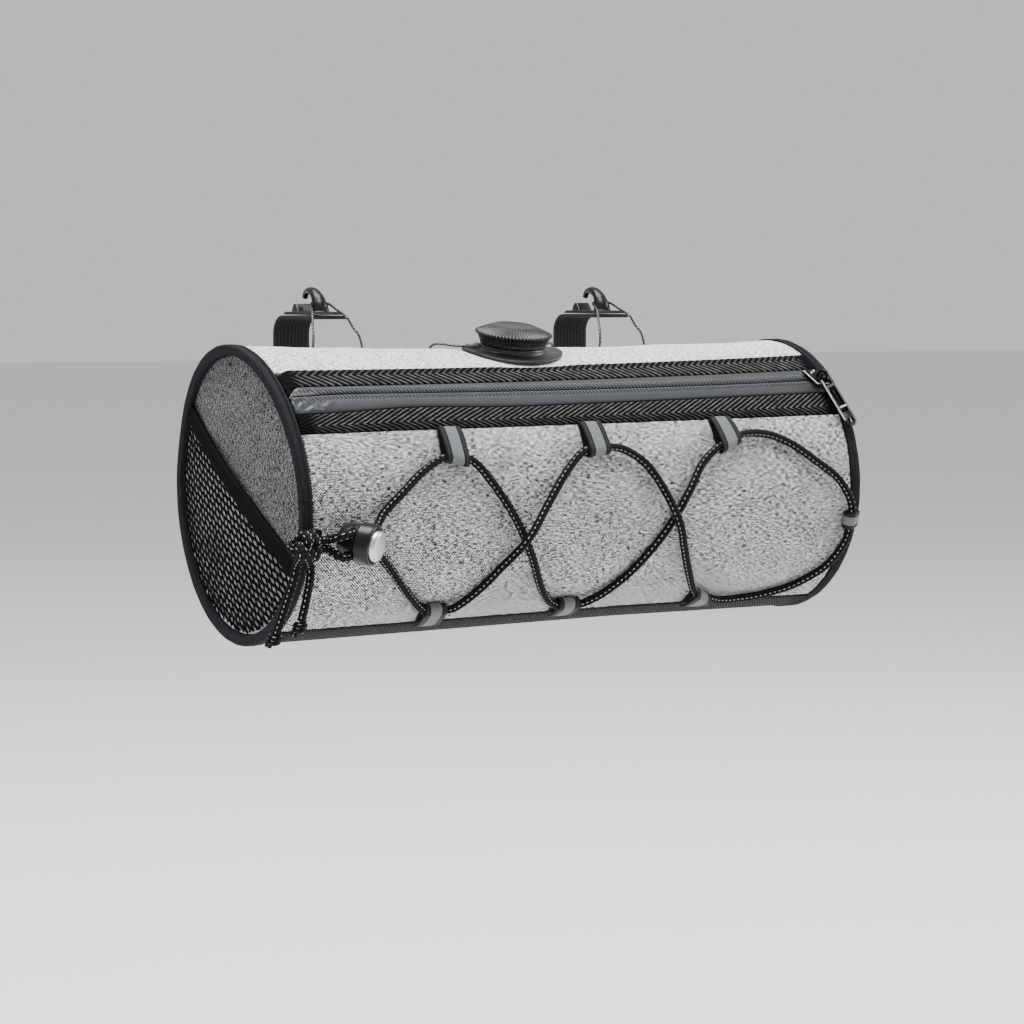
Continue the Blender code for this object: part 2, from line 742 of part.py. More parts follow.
def make_lock():
    """The toggle's barrel, drilled for both runs of the cord, and the button that sinks into its well."""
    middle, axis, holes, apart = lock_frame()
    at = about(middle, axis, apart)
    half = LOCK_LENGTH / 2
    well = BUTTON_RADIUS + GAP
    floor = half - BUTTON_PRESS - 2 * BUTTON_SEAT
    body = disc("cord_lock_body", [
        (0.0, floor),
        (well, floor),
        (well, half - LOCK_STEP),
        (well + LOCK_STEP, half),
        (LOCK_RADIUS - LOCK_STEP, half),
        (LOCK_RADIUS, half - LOCK_STEP),
        (LOCK_RADIUS, half - LOCK_RIM),
        (LOCK_RADIUS - LOCK_STEP, half - LOCK_RIM - LOCK_STEP),
        (LOCK_TAIL_RADIUS, LOCK_END_ROUND - half),
        (LOCK_TAIL_RADIUS - LOCK_END_ROUND, -half),
        (0.0, -half),
    ], 24, at, "gloss_plastic")
    radius = CORD_DIAMETER / 2 + LOCK_HOLE_CLEARANCE
    drills = []
    for label, offset in (("upper", apart), ("lower", -apart)):
        start = middle + offset * LOCK_HOLE_OFFSET
        reach = holes * (LOCK_LENGTH + LOCK_RADIUS)
        drills.append(rod("drill_" + label, start - reach, start + reach, radius, "metal"))
    union(body, drills, "DIFFERENCE")
    top = half + BUTTON_PROUD
    bottom = floor + BUTTON_PRESS + GAP
    disc("cord_lock_button", [
        (0.0, top),
        (BUTTON_RADIUS - BUTTON_SEAT, top - GAP),
        (BUTTON_RADIUS, top - BUTTON_SEAT),
        (BUTTON_RADIUS, bottom),
        (0.0, bottom),
    ], 24, at, "metal")


def dial_frame():
    """The dial's middle on the cloth, its axis, and the way to the front."""
    return place(DIAL_X, DIAL_ANGLE), outward(DIAL_ANGLE), downhill(DIAL_ANGLE)


def make_dial():
    """The flange and collar on the cloth, the ribbed cap above them, and the sleeves and lace beside them."""
    middle, axis, front = dial_frame()
    flat = about(middle, axis, Vector((1.0, 0.0, 0.0)))

    def saddle(radius, turn, height):
        """Lies on the cloth near the flange's rim and turns into a flat round collar further in."""
        share = min(max((radius - COLLAR_RADIUS) / (FLANGE_RADIUS - COLLAR_RADIUS), 0.0), 1.0)
        if height < FLANGE_THICKNESS:
            share = 1.0
        x = DIAL_X + radius * math.cos(turn)
        angle = DIAL_ANGLE + wide(radius * math.sin(turn))
        return flat(radius, turn, height).lerp(place(x, angle, height), share)

    lip = COLLAR_RADIUS + LIP_WIDTH
    shoulder = (FLANGE_THICKNESS + COLLAR_HEIGHT) / 2
    disc("dial_base", [
        (0.0, COLLAR_HEIGHT),
        (COLLAR_RADIUS, COLLAR_HEIGHT),
        (lip, shoulder),
        (lip + LIP_WIDTH * 0.6, FLANGE_THICKNESS * 2),
        (FLANGE_RADIUS - LIP_WIDTH, FLANGE_THICKNESS + GAP),
        (FLANGE_RADIUS, FLANGE_THICKNESS),
        (FLANGE_RADIUS, GAP),
        (COLLAR_RADIUS, GAP),
        (0.0, GAP),
    ], 28, saddle, "dark_plastic")
    low = COLLAR_HEIGHT + GAP
    high = low + CAP_HEIGHT

    def ribs(k, radius, height):
        on_side = radius > CAP_RADIUS - CAP_BEVEL / 2 and height < high - CAP_BEVEL / 2
        return CAP_RIB_DEPTH if k % 2 and on_side else 0.0

    disc("dial_cap", [
        (0.0, high),
        (CAP_RADIUS - 2 * CAP_BEVEL, high),
        (CAP_RADIUS - CAP_BEVEL, high - CAP_BEVEL / 5),
        (CAP_RADIUS, high - CAP_BEVEL),
        (CAP_RADIUS, low + CAP_BEVEL),
        (CAP_RADIUS - CAP_BEVEL / 3, low + CAP_BEVEL / 4),
        (CAP_RADIUS - CAP_BEVEL, low),
        (0.0, low),
    ], 2 * CAP_RIBS, about(middle, axis, front), "dark_plastic", ribs)
    turn = math.radians(GUIDE_TURN)
    for side, label in ((-1.0, "left"), (1.0, "right")):
        way = Vector((side, 0.0, 0.0)) * math.cos(turn) - front * math.sin(turn)
        start = middle + way * (lip + LIP_WIDTH) + axis * (2 * FLANGE_THICKNESS + 2 * GAP + GUIDE_RADIUS)
        end = start + way * GUIDE_LENGTH
        rod("lace_guide_" + label, start, end, GUIDE_RADIUS, "gloss_plastic", 10)
        begin = end + way * GAP
        x = begin.x + side * DIAL_LACE_RUN
        angle = DIAL_ANGLE + DIAL_LACE_ANGLE
        rise = LACE_DIAMETER / 2 + GAP
        route = [begin, begin + way * DIAL_LACE_RUN / 3 - axis * LACE_DIAMETER * 0.6,
                 place(x - side * DIAL_LACE_RUN / 6, angle - 2.0, rise + 1.4 * LACE_DIAMETER), place(x, angle, rise)]
        tube("lace_dial_" + label, spline_points(route, 2.5 * LACE_DIAMETER), LACE_DIAMETER, "lace")


def strap_centres():
    """The strap's middle line in (y, z): up the bag's back, behind the bar and forward over its flat top."""
    mid = GAP + STRAP_THICKNESS / 2
    line = []
    for angle in steps(STRAP_START, STRAP_LEAVES, 5):
        at = place(0.0, angle, mid)
        line.append((at.y, at.z))
    rear = BAR_DEPTH / 2 + mid
    top = BAR_HEIGHT / 2 + mid
    first, second = Vector(line[-1]), Vector((rear, -BAR_HEIGHT * STRAP_LOW))
    leave = Vector((line[-1][0] - line[-2][0], line[-1][1] - line[-2][1])).normalized()
    pull = (second - first).length * 0.42
    for t in (0.2, 0.4, 0.6, 0.8):
        a, b = first + leave * pull, second - Vector((0.0, 1.0)) * pull
        at = first * (1 - t) ** 3 + a * 3 * t * (1 - t) ** 2 + b * 3 * t * t * (1 - t) + second * t ** 3
        line.append((at.x, at.y))
    line.append(tuple(second))
    for turn in steps(0.0, 90.0, 5):
        angle = math.radians(turn)
        line.append((rear - STRAP_CORNER + STRAP_CORNER * math.cos(angle),
                     top - STRAP_CORNER + STRAP_CORNER * math.sin(angle)))
    line.append((-HOOK_FRONT + GAP, top))
    return line


def hook_outline(top):
    """The horn and the nub behind it from the side, as (y, z) places above the base plate's top."""
    return [(HORN_LENGTH * along - HORN_START, top + HORN_HEIGHT * up) for along, up in HORN_SHARES]


def prism(name, outline, half, to_world, slot, edge=0.0):
    """An outline given a thickness, with its long edges eased."""
    bm = bmesh.new()
    sides = [[bm.verts.new(to_world(p, side * half)) for p in outline] for side in (-1.0, 1.0)]
    bm.faces.new(sides[0])
    bm.faces.new(list(reversed(sides[1])))
    count = len(outline)
    for k in range(count):
        m = (k + 1) % count
        bm.faces.new((sides[0][k], sides[1][k], sides[1][m], sides[0][m]))
    made = finish(name, bm, slot)
    if edge:
        step = made.modifiers.new("eased", "BEVEL")
        step.width = edge
        step.segments = 1
        step.limit_method = "ANGLE"
        step.angle_limit = math.radians(60.0)
    return made


def make_hooks():
    under = BAR_HEIGHT / 2 + GAP + STRAP_THICKNESS + GAP
    top = under + HOOK_BASE
    for side, label in ((-1.0, "left"), (1.0, "right")):
        x0 = side * HOOK_SPACING / 2

        def in_bar_plane(p, v, x0=x0):
            return Vector((x0 + v, p[0], p[1]))

        def on_strap(s, h, v, x0=x0):
            return Vector((x0 + v, s, h))

        ribbon("hook_strap_" + label, strap_centres(), on_strap, STRAP_THICKNESS, STRAP_WIDTH, "black_cloth")
        base = [
            (-HOOK_FRONT, under), (HOOK_REAR - HOOK_EASE, under), (HOOK_REAR, under + HOOK_EASE / 2),
            (HOOK_REAR - HOOK_EASE, top), (-HOOK_FRONT + HOOK_EASE, top), (-HOOK_FRONT, top - HOOK_EASE / 2),
        ]
        plate = prism("hook_" + label, base, HOOK_WIDTH / 2, in_bar_plane, "gloss_plastic")
        horn = prism("horn_" + label, hook_outline(top), HORN_WIDTH / 2, in_bar_plane, "gloss_plastic",
                     HOOK_EASE / 2)
        union(plate, [horn])
        wire = LACE_DIAMETER / 2
        beside = HORN_WIDTH / 2 + GAP + wire
        behind = HORN_LENGTH * (HORN_MOUTH + 0.03) - HORN_START + GAP + wire
        rest = top + GAP + wire
        half_route = [
            (0.0, behind, rest + 0.0012),
            (beside * 0.6, behind, rest + 0.0012),
            (beside * 0.95, behind - 0.0007, rest + 0.0012),
            (beside + 0.0004, behind - 0.0028, rest + 0.0009),
            (beside + 0.0004, -0.0085, rest + 0.0003),
            (beside + 0.0012, -HOOK_FRONT - 0.0005, rest - 0.0001),
            (beside + 0.0026, -BAR_DEPTH / 2 + 0.0008, rest - 0.0046),
            (beside + 0.0044, -BAR_DEPTH / 2 - 0.0014, 0.0070),
        ]
        entry = place(x0 + LACE_SPREAD, LACE_ENTERS, GAP + wire)
        half_route.append((LACE_SPREAD - 0.0010, entry.y + 0.0006, entry.z + 0.0050))
        half_route.append((LACE_SPREAD, entry.y, entry.z))
        mirrored = [(-x, y, z) for x, y, z in half_route[1:]]
        route = [Vector((x0 + x, y, z)) for x, y, z in reversed(mirrored)]
        route += [Vector((x0 + x, y, z)) for x, y, z in half_route]
        tube("lace_hook_" + label, spline_points(route, 3.0 * LACE_DIAMETER), LACE_DIAMETER, "lace")


def slider_frame():
    """The slider's middle on the zip, with the ways along the bag, down the cloth and out of it."""
    x = BAG_LENGTH / 2 - SLIDER_FROM_END
    angle = zip_edge(zip_offsets()[2])(x)
    return place(x, angle), Vector((1.0, 0.0, 0.0)), downhill(angle), outward(angle)


def slider_heights():
    """The slider plate's underside, its top and the pull's pin, above the cloth."""
    low = ZIP_CROWN + GAP + SLIDER_LIFT
    high = low + SLIDER_THICKNESS
    return low, high, high + PIN_HEIGHT


def make_slider():
    """A tapered plate with a round arch on top, which holds the pull."""
    middle, along, down, out = slider_frame()
    low, high, _ = slider_heights()

    def lying(p, v):
        return middle + along * p[0] + down * p[1] + out * ((low + high) / 2 + v)

    half, wide_half = SLIDER_LENGTH / 2, SLIDER_WIDTH / 2
    outline = [
        (-half, -wide_half * 0.62), (-half * 0.55, -wide_half * 0.70), (half * 0.10, -wide_half),
        (half * 0.80, -wide_half), (half, -wide_half * 0.72),
    ]
    outline += [(x, -y) for x, y in reversed(outline)]
    body = prism("zip_slider", outline, SLIDER_THICKNESS / 2, lying, "dark_metal", SLIDER_THICKNESS / 3)
    pin_place, _, pin, _ = pull_frame()
    flat_way = pin.cross(out)
    sink = SLIDER_THICKNESS / 2
    arch = [pin_place + flat_way * BAIL_RADIUS - out * (PIN_HEIGHT + sink)]
    for turn in steps(0.0, 180.0, 8):
        angle = math.radians(turn)
        arch.append(pin_place + flat_way * BAIL_RADIUS * math.cos(angle) + out * BAIL_RADIUS * math.sin(angle))
    arch.append(pin_place - flat_way * BAIL_RADIUS - out * (PIN_HEIGHT + sink))
    union(body, [mesh_of(tube("bail", arch, BAIL_WIRE, "dark_metal"))])


def mesh_of(curve_object):
    """The same shape as a mesh, so that it can be joined to others."""
    graph = bpy.context.evaluated_depsgraph_get()
    mesh = bpy.data.meshes.new_from_object(curve_object.evaluated_get(graph))
    name = curve_object.name
    bpy.data.objects.remove(curve_object)
    bm = bmesh.new()
    bm.from_mesh(mesh)
    bpy.data.meshes.remove(mesh)
    bmesh.ops.remove_doubles(bm, verts=bm.verts, dist=1e-6)
    return finish(name + "_solid", bm, "dark_metal")


def pull_frame():
    """The pin's place, the way the pull hangs, the pin's direction and the pull's own outward side."""
    middle, along, down, out = slider_frame()
    turn, drop = math.radians(PULL_AROUND), math.radians(PULL_DROP)
    flat_way = along * math.cos(turn) + down * math.sin(turn)
    way = flat_way * math.cos(drop) - out * math.sin(drop)
    pin = out.cross(flat_way).normalized()
    at = middle + flat_way * PIN_OFFSET + out * slider_heights()[2]
    return at, way, pin, way.cross(pin).normalized()


def make_pull():
    """A tab whose end bar sits under the slider's arch, with an eye, two windows and a hole at its tip."""
    at, way, pin, face = pull_frame()
    half = PULL_WIDTH / 2
    back = PULL_BAR / 2
    eye_end = BAIL_RADIUS + BAIL_WIRE + PULL_BAR / 2 + GAP

    def lying(p, v):
        return at + way * p[0] + pin * p[1] + face * v

    tip = PULL_LENGTH - back
    outline = [
        (-back, half * 0.80), (eye_end, half * 0.86), (eye_end + PULL_BAR, half), (tip - half, half),
        (tip - half * 0.3, half * 0.72), (tip, half * 0.3),
    ]
    outline += [(x, -y) for x, y in reversed(outline)]
    tab = prism("zip_pull", outline, PULL_THICKNESS / 2, lying, "dark_metal", PULL_THICKNESS / 4)
    inside = half - PULL_RAIL
    first = eye_end + PULL_BAR
    second = first + 0.34 * PULL_LENGTH
    windows = (
        ("eye", back, eye_end, half * 0.80 - PULL_RAIL * 0.7),
        ("window", first, second, inside),
        ("slot", second + PULL_BAR, second + 2.2 * PULL_BAR, inside),
        ("tip", tip - 2.6 * PULL_BAR, tip - 1.2 * PULL_BAR, inside * 0.8),
    )
    cuts = []
    for label, start, end, side in windows:
        shape = [(start, -side), (end, -side), (end, side), (start, side)]
        cuts.append(prism("cut_" + label, shape, PULL_THICKNESS * 2, lying, "metal"))
    union(tab, cuts, "DIFFERENCE")


for old in list(bpy.data.objects):
    bpy.data.objects.remove(old)

make_walls()
make_zip()
make_ends()
make_pocket()
make_loops()
make_right_loop()
make_cord()
make_lock()
make_dial()
make_hooks()
make_slider()
make_pull()
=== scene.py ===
# %% [markdown]
# # A barrel handlebar bag
# The bag hangs in front of a flat-topped bar. Its walls are heather cloth with an elastic cord laced over the front,
# a coated zip between two herringbone tapes above that, a net pocket on the left end, and a dial on top whose thin
# laces pull two hooks down on the bar. The barrel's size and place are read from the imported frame, and the small
# pieces repeat the sizes of the CAD part. This file gives each piece its cloth, weave, relief and finish.

# %% Load the frame
import math

import bmesh
import bpy
import numpy as np
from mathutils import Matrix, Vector, noise


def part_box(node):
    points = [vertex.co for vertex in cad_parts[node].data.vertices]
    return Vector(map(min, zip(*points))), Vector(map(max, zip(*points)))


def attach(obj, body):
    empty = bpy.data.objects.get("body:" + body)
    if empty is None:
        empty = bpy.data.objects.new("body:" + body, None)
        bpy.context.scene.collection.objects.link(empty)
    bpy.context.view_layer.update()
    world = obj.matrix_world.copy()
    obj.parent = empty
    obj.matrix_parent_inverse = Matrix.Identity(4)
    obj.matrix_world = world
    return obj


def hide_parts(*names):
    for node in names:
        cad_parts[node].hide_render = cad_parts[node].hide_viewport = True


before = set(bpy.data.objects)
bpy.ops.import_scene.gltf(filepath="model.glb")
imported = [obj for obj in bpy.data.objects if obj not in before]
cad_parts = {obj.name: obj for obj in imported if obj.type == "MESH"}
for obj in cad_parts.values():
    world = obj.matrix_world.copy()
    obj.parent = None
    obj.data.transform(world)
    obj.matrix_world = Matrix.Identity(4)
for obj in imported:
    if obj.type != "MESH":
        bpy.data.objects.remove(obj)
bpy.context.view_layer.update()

# %% [markdown]
# The camera stands left of the bag and a little above its middle, where a long lens shows the left end and the front
# together. It is made first, with the floor and the lights, so that every later step can be looked at.

# %% Camera, floor and lights
CAMERA_PLACE = (-0.6338, -1.1220, 0.0265)
CAMERA_TURN = 30.45
CAMERA_DROP = 4.14
CAMERA_LENS = 110.48
CAMERA_SENSOR = 36.0
CAMERA_REACH = 60.0
FLOOR_HEIGHT = -0.32
FLOOR_SIZE = 24.0
FLOOR_TONE = (0.82, 0.82, 0.825, 1.0)
WORLD_TONE = (0.93, 0.935, 0.94, 1.0)
WORLD_STRENGTH = 0.74
# Each light's name, place, size in metres and power in watts.
LIGHTS = (("overhead", (-0.1, -0.1, 1.5), (1.4, 0.9), 72.0),
          ("front_left", (-1.6, -1.5, 0.7), (1.0, 1.2), 1.5),
          ("right", (1.8, -0.6, 0.6), (0.8, 1.2), 26.0))


def make_camera():
    data = bpy.data.cameras.new("camera")
    data.lens = CAMERA_LENS
    data.sensor_width = CAMERA_SENSOR
    data.clip_end = CAMERA_REACH
    camera = bpy.data.objects.new("camera", data)
    camera.location = CAMERA_PLACE
    camera.rotation_euler = (math.radians(90.0 - CAMERA_DROP), 0.0, math.radians(-CAMERA_TURN))
    bpy.context.scene.collection.objects.link(camera)
    bpy.context.scene.camera = camera


def make_light(name, place, size, power):
    """A soft rectangular light that points at the bar."""
    data = bpy.data.lights.new(name, "AREA")
    data.shape = "RECTANGLE"
    data.size, data.size_y = size
    data.energy = power
    light = bpy.data.objects.new(name, data)
    light.location = place
    light.rotation_euler = (-Vector(place)).to_track_quat("-Z", "Y").to_euler()
    bpy.context.scene.collection.objects.link(light)


def make_stage():
    bpy.ops.mesh.primitive_plane_add(size=FLOOR_SIZE, location=(0.0, 0.0, FLOOR_HEIGHT))
    floor = bpy.context.object
    floor.name = "floor"
    material = bpy.data.materials.new("floor")
    material.use_nodes = True
    shader = material.node_tree.nodes["Principled BSDF"]
    shader.inputs["Base Color"].default_value = FLOOR_TONE
    shader.inputs["Roughness"].default_value = 0.9
    floor.data.materials.append(material)
    world = bpy.data.worlds.new("studio")
    world.use_nodes = True
    sky = world.node_tree.nodes["Background"]
    sky.inputs["Color"].default_value = WORLD_TONE
    sky.inputs["Strength"].default_value = WORLD_STRENGTH
    bpy.context.scene.world = world


make_camera()
make_stage()
for light_settings in LIGHTS:
    make_light(*light_settings)
print("camera and lights are in place")

# %% [markdown]
# Every size of the barrel is read from the frame: the two bindings are exact rings, so their boxes give the bag's
# axis, radius and length. A place on the bag is its x, its angle round the barrel (0 is the front, 90 the top and 180
# the back) and a height above the cloth. The same formulas work on single numbers and on whole grids. A stuffed bag
# is never an exact barrel: at the top both its ends lean to the left, and its bottom sags, so the soft pieces are
# moved a little in one last step.

# %% Sizes of the barrel
MILLIMETRE = 0.001
ring_low, ring_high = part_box("binding_left")
BINDING_PROUD = 0.0007
BINDING_WIDTH = ring_high.x - ring_low.x
BAG_RADIUS = (ring_high.z - ring_low.z) / 2 - BINDING_PROUD
BAG_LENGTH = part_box("binding_right")[1].x - ring_low.x
AXIS_Y = (ring_low.y + ring_high.y) / 2
AXIS_Z = (ring_low.z + ring_high.z) / 2
GAP = 0.0003
TOP_SAG = 0.002
DIAL_X = -0.0104
DIAL_ANGLE = 80.0
DIAL_DENT = 0.0024
DIAL_DENT_REACH = 0.030
LEAN_LEFT = 0.0052
LEAN_RIGHT = 0.0026
LEAN_TURN = math.radians(75.0)
SAG = 0.0032
SAG_TURN = math.radians(-85.0)
LEAN_EDGE = 0.05
SAG_EDGE = 0.36
print("barrel", round(BAG_LENGTH * 1000, 1), "by", round(BAG_RADIUS * 2000, 1), "mm")


def wide(length):
    """A length along the cloth as degrees round the bag."""
    return np.degrees(length / BAG_RADIUS)


def skin(x, angle):
    """Radius of the cloth's outer face: round, with a dip along the crest and a dent under the dial."""
    along = np.maximum(0.0, 1.0 - (2.0 * x / BAG_LENGTH) ** 2)
    over = np.maximum(0.0, np.cos(np.radians(0.75 * (angle - 90.0)))) ** 3
    reach = np.hypot(x - DIAL_X, BAG_RADIUS * np.radians(angle - DIAL_ANGLE)) / DIAL_DENT_REACH
    dent = DIAL_DENT * np.cos(0.5 * np.pi * np.minimum(reach, 1.0)) ** 2
    return BAG_RADIUS - TOP_SAG * along * over - dent


def on_barrel(x, angle, height=0.0):
    """Places on the barrel as an array of points."""
    x, angle, height = np.broadcast_arrays(np.asarray(x, float), angle, height)
    radius = skin(x, angle) + height
    turn = np.radians(angle)
    return np.stack([x, AXIS_Y - radius * np.cos(turn), AXIS_Z + radius * np.sin(turn)], -1)


def askew(points):
    """Hangs the soft pieces as the stuffed bag does: the ends lean, and the bottom sags at the left."""
    x, y, z = points[..., 0], points[..., 1] - AXIS_Y, points[..., 2] - AXIS_Z
    turn = np.arctan2(z, -y)
    inside = np.minimum(np.hypot(y, z) / BAG_RADIUS, 1.0)
    high = np.maximum(0.0, np.cos(turn - LEAN_TURN) - LEAN_EDGE) ** 1.3
    low = np.maximum(0.0, np.cos(turn - SAG_TURN) - SAG_EDGE)
    lean = np.where(x < 0.0, LEAN_LEFT, LEAN_RIGHT) * np.abs(2.0 * x / BAG_LENGTH) ** 4 * high * inside
    sag = SAG * np.clip(0.25 - 2.0 * x / BAG_LENGTH, 0.0, 1.2) * low * inside
    return np.stack([x - lean, points[..., 1], points[..., 2] - sag], -1)


def on_bag(x, angle, height=0.0):
    """Places on the cloth as it hangs."""
    return askew(on_barrel(x, angle, height))


# %% [markdown]
# A procedural material reads where it is on its piece. Each mesh therefore carries one attribute, weave: for a cloth
# or a tape the metres along it and across it, for a cord the metres along it and the cosine and sine of the turn
# round it. The pattern then follows the piece round every bend. The helper class lets the shader maths be written as
# ordinary expressions.

# %% Sockets in expressions
class Wire:
    """An output socket that works in Python expressions."""

    def __init__(self, finish, socket):
        self.finish = finish
        self.socket = socket

    def __add__(self, other):
        return self.finish.math("ADD", self, other)

    def __radd__(self, other):
        return self.finish.math("ADD", other, self)

    def __sub__(self, other):
        return self.finish.math("SUBTRACT", self, other)

    def __rsub__(self, other):
        return self.finish.math("SUBTRACT", other, self)

    def __mul__(self, other):
        return self.finish.math("MULTIPLY", self, other)

    def __rmul__(self, other):
        return self.finish.math("MULTIPLY", other, self)

    def __truediv__(self, other):
        return self.finish.math("DIVIDE", self, other)

    def __gt__(self, other):
        return self.finish.math("GREATER_THAN", self, other)

    def __abs__(self):
        return self.finish.math("ABSOLUTE", self)

    def sin(self):
        return self.finish.math("SINE", self)

    def fraction(self):
        return self.finish.math("FRACT", self)


# %% [markdown]
# A finish is one material: a Principled shader and the nodes that feed it. One method adds any node, so each
# material below reads as a list of what it is made of, such as weave, noise, ramp and relief.

# %% A material and its nodes
class Finish:
    """A material with a Principled shader and the nodes that feed it."""

    def __init__(self, name, roughness=0.8, metallic=0.0, **fixed):
        self.material = bpy.data.materials.new(name)
        self.material.use_nodes = True
        self.tree = self.material.node_tree
        self.shader = self.tree.nodes["Principled BSDF"]
        self.shader.inputs["Roughness"].default_value = roughness
        self.shader.inputs["Metallic"].default_value = metallic
        for socket, value in fixed.items():
            self.shader.inputs[socket.replace("_", " ")].default_value = value

    def node(self, kind, settings=None, sockets=None, output=0):
        """Adds one node: its settings first, then the values or links of its sockets."""
        made = self.tree.nodes.new(kind)
        for name, value in (settings or {}).items():
            if name == "stops":
                self.fill_ramp(made.color_ramp, value)
            else:
                setattr(made, name, value)
        for name, value in (sockets or {}).items():
            if isinstance(value, Wire):
                self.tree.links.new(value.socket, made.inputs[name])
            else:
                made.inputs[name].default_value = value
        return Wire(self, made.outputs[output])

    def fill_ramp(self, ramp, stops):
        while len(ramp.elements) < len(stops):
            ramp.elements.new(0.5)
        for element, (place, colour) in zip(ramp.elements, stops):
            element.position = place
            element.color = (*colour, 1.0)

    def math(self, operation, *values):
        return self.node("ShaderNodeMath", {"operation": operation}, dict(enumerate(values)))

    def weave(self):
        """The three numbers of the piece's weave attribute."""
        vector = self.node("ShaderNodeAttribute", {"attribute_name": "weave"}, output=1)
        split = self.tree.nodes.new("ShaderNodeSeparateXYZ")
        self.tree.links.new(vector.socket, split.inputs[0])
        return [Wire(self, split.outputs[k]) for k in range(3)]

    def point(self, x, y, z=0.0):
        return self.node("ShaderNodeCombineXYZ", {}, {0: x, 1: y, 2: z})

    def place(self):
        """The piece's own coordinates in metres."""
        return self.node("ShaderNodeTexCoord", output=3)

    def noise(self, vector, scale=1.0, detail=2.0, roughness=0.5):
        return self.node("ShaderNodeTexNoise", {}, {
            "Vector": vector, "Scale": scale, "Detail": detail, "Roughness": roughness})

    def ramp(self, value, stops):
        return self.node("ShaderNodeValToRGB", {"stops": stops}, {0: value})

    def mix(self, share, first, second):
        return self.node("ShaderNodeMix", {"data_type": "RGBA"}, {0: share, 6: first, 7: second}, 2)

    def smooth(self, value, low, high):
        """0 below low, 1 above high, and a soft step between them."""
        return self.node("ShaderNodeMapRange", {"interpolation_type": "SMOOTHSTEP"}, {
            "Value": value, "From Min": low, "From Max": high})

    def feed(self, **wires):
        for name, value in wires.items():
            self.tree.links.new(value.socket, self.shader.inputs[name.replace("_", " ")])

    def bump(self, height, depth):
        """Relief from a height between 0 and 1 that stands for depth metres."""
        self.feed(Normal=self.node("ShaderNodeBump", {}, {
            "Height": height, "Distance": depth, "Strength": 1.0}))


def grey(value, warmth=0.0):
    return (value * (1 + warmth), value, value * (1 - warmth))


def solid(colour):
    return (*colour, 1.0)


# %% [markdown]
# Heather cloth is spun from light and dark fibres, so every thread changes tone along its length. Two noises, each
# drawn out along one thread direction, make the flecks, and a sharp ramp gives them the salt-and-pepper contrast. A
# fine diagonal ribbing lies over them, as in a twill, and both also drive the relief.

# %% Heather cloth
FLECK = 0.00075
# How long a fleck is along the bag and round it, as shares of FLECK.
WARP_FLECK = (0.62, 1.9)
WEFT_FLECK = (2.8, 0.55)
PATCH = 0.011
TWILL_PITCH = 0.0011


def heather(name, dark, middle, light, painted_light_under_net=False):
    """Heather cloth from three tones. With painted light under the net it is pale where the weave's third number is
    above 0.
    """
    finish = Finish(name, 0.92, Specular_IOR_Level=0.15)
    run, span, below = finish.weave()
    warp = finish.noise(finish.point(run / (FLECK * WARP_FLECK[0]), span / (FLECK * WARP_FLECK[1])), 1.0, 2.0, 0.6)
    weft_place = finish.point(run / (FLECK * WEFT_FLECK[0]), span / (FLECK * WEFT_FLECK[1]), 7.0)
    weft = finish.noise(weft_place, 1.0, 2.0, 0.6)
    rib = ((run + span) * (2 * math.pi / TWILL_PITCH)).sin()
    patch = finish.noise(finish.point(run / PATCH, span / PATCH, 3.0), 1.0, 2.0)
    fleck = warp * 0.42 + weft * 0.58 + rib * 0.056 + (patch - 0.5) * 0.06
    colour = finish.ramp(fleck, ((0.435, dark), (0.50, middle), (0.565, light)))
    # Painted light: under the net the cloth is made pale, so that the net's holes look bright.
    if painted_light_under_net:
        under_net_share = finish.smooth(below, 0.0, MILLIMETRE)
        colour = finish.mix(under_net_share, colour, finish.ramp(fleck, ((0.42, grey(0.85)), (0.56, grey(0.99)))))
    finish.feed(Base_Color=colour)
    finish.bump(fleck * 1.6 + rib * 0.14, 0.00022)
    return finish


FRONT_CLOTH = heather("front cloth", grey(0.006), (0.150, 0.155, 0.153), (0.86, 0.86, 0.82))
TOP_CLOTH = heather("top cloth", grey(0.13), grey(0.56), grey(0.95))
END_CLOTH = heather("end cloth", grey(0.004), grey(0.050), grey(0.28))
print("heather cloths are ready")

# %% [markdown]
# Each soft piece starts as a grid of points on its outer face and a second grid on its inner face, joined round the
# rim into one closed wall. The stations crowd together near the edges, where the wall is rounded over, so that it
# catches light like turned cloth and not like a cut plate.

# %% Stations and rounded edges
EDGE_ROUND = 0.0006
WALL_END = BAG_LENGTH / 2 - BINDING_WIDTH - GAP


def eased(first, last, count, turn=EDGE_ROUND):
    """Stations from first to last, with extra ones where the edge is rounded."""
    inner = np.linspace(first + turn, last - turn, count + 1)
    start = first + turn * np.array([0.0, 0.12, 0.45])
    return np.concatenate([start, inner, last - (start - first)[::-1]])


def edge_drop(distance, turn=EDGE_ROUND):
    """How far a rounded edge lies below its face."""
    left = turn - np.minimum(np.maximum(distance, 0.0), turn)
    return turn - np.sqrt(np.maximum(turn ** 2 - left ** 2, 0.0))


def quads(rows, columns, offset=0, wrap_rows=False, wrap_columns=False):
    """Faces of a grid whose points are numbered row by row."""
    i, j = np.meshgrid(np.arange(rows - (not wrap_rows)), np.arange(columns - (not wrap_columns)), indexing="ij")
    k, m = (i + 1) % rows, (j + 1) % columns
    faces = np.stack([i * columns + j, k * columns + j, k * columns + m, i * columns + m], -1) + offset
    return faces.reshape(-1, 4)


# %% [markdown]
# Every piece goes through the same steps: a mesh from points and faces, normals that point outwards, smooth
# shading with sharp creases, the weave attribute, a material, and a ride on one of the frame's bodies.

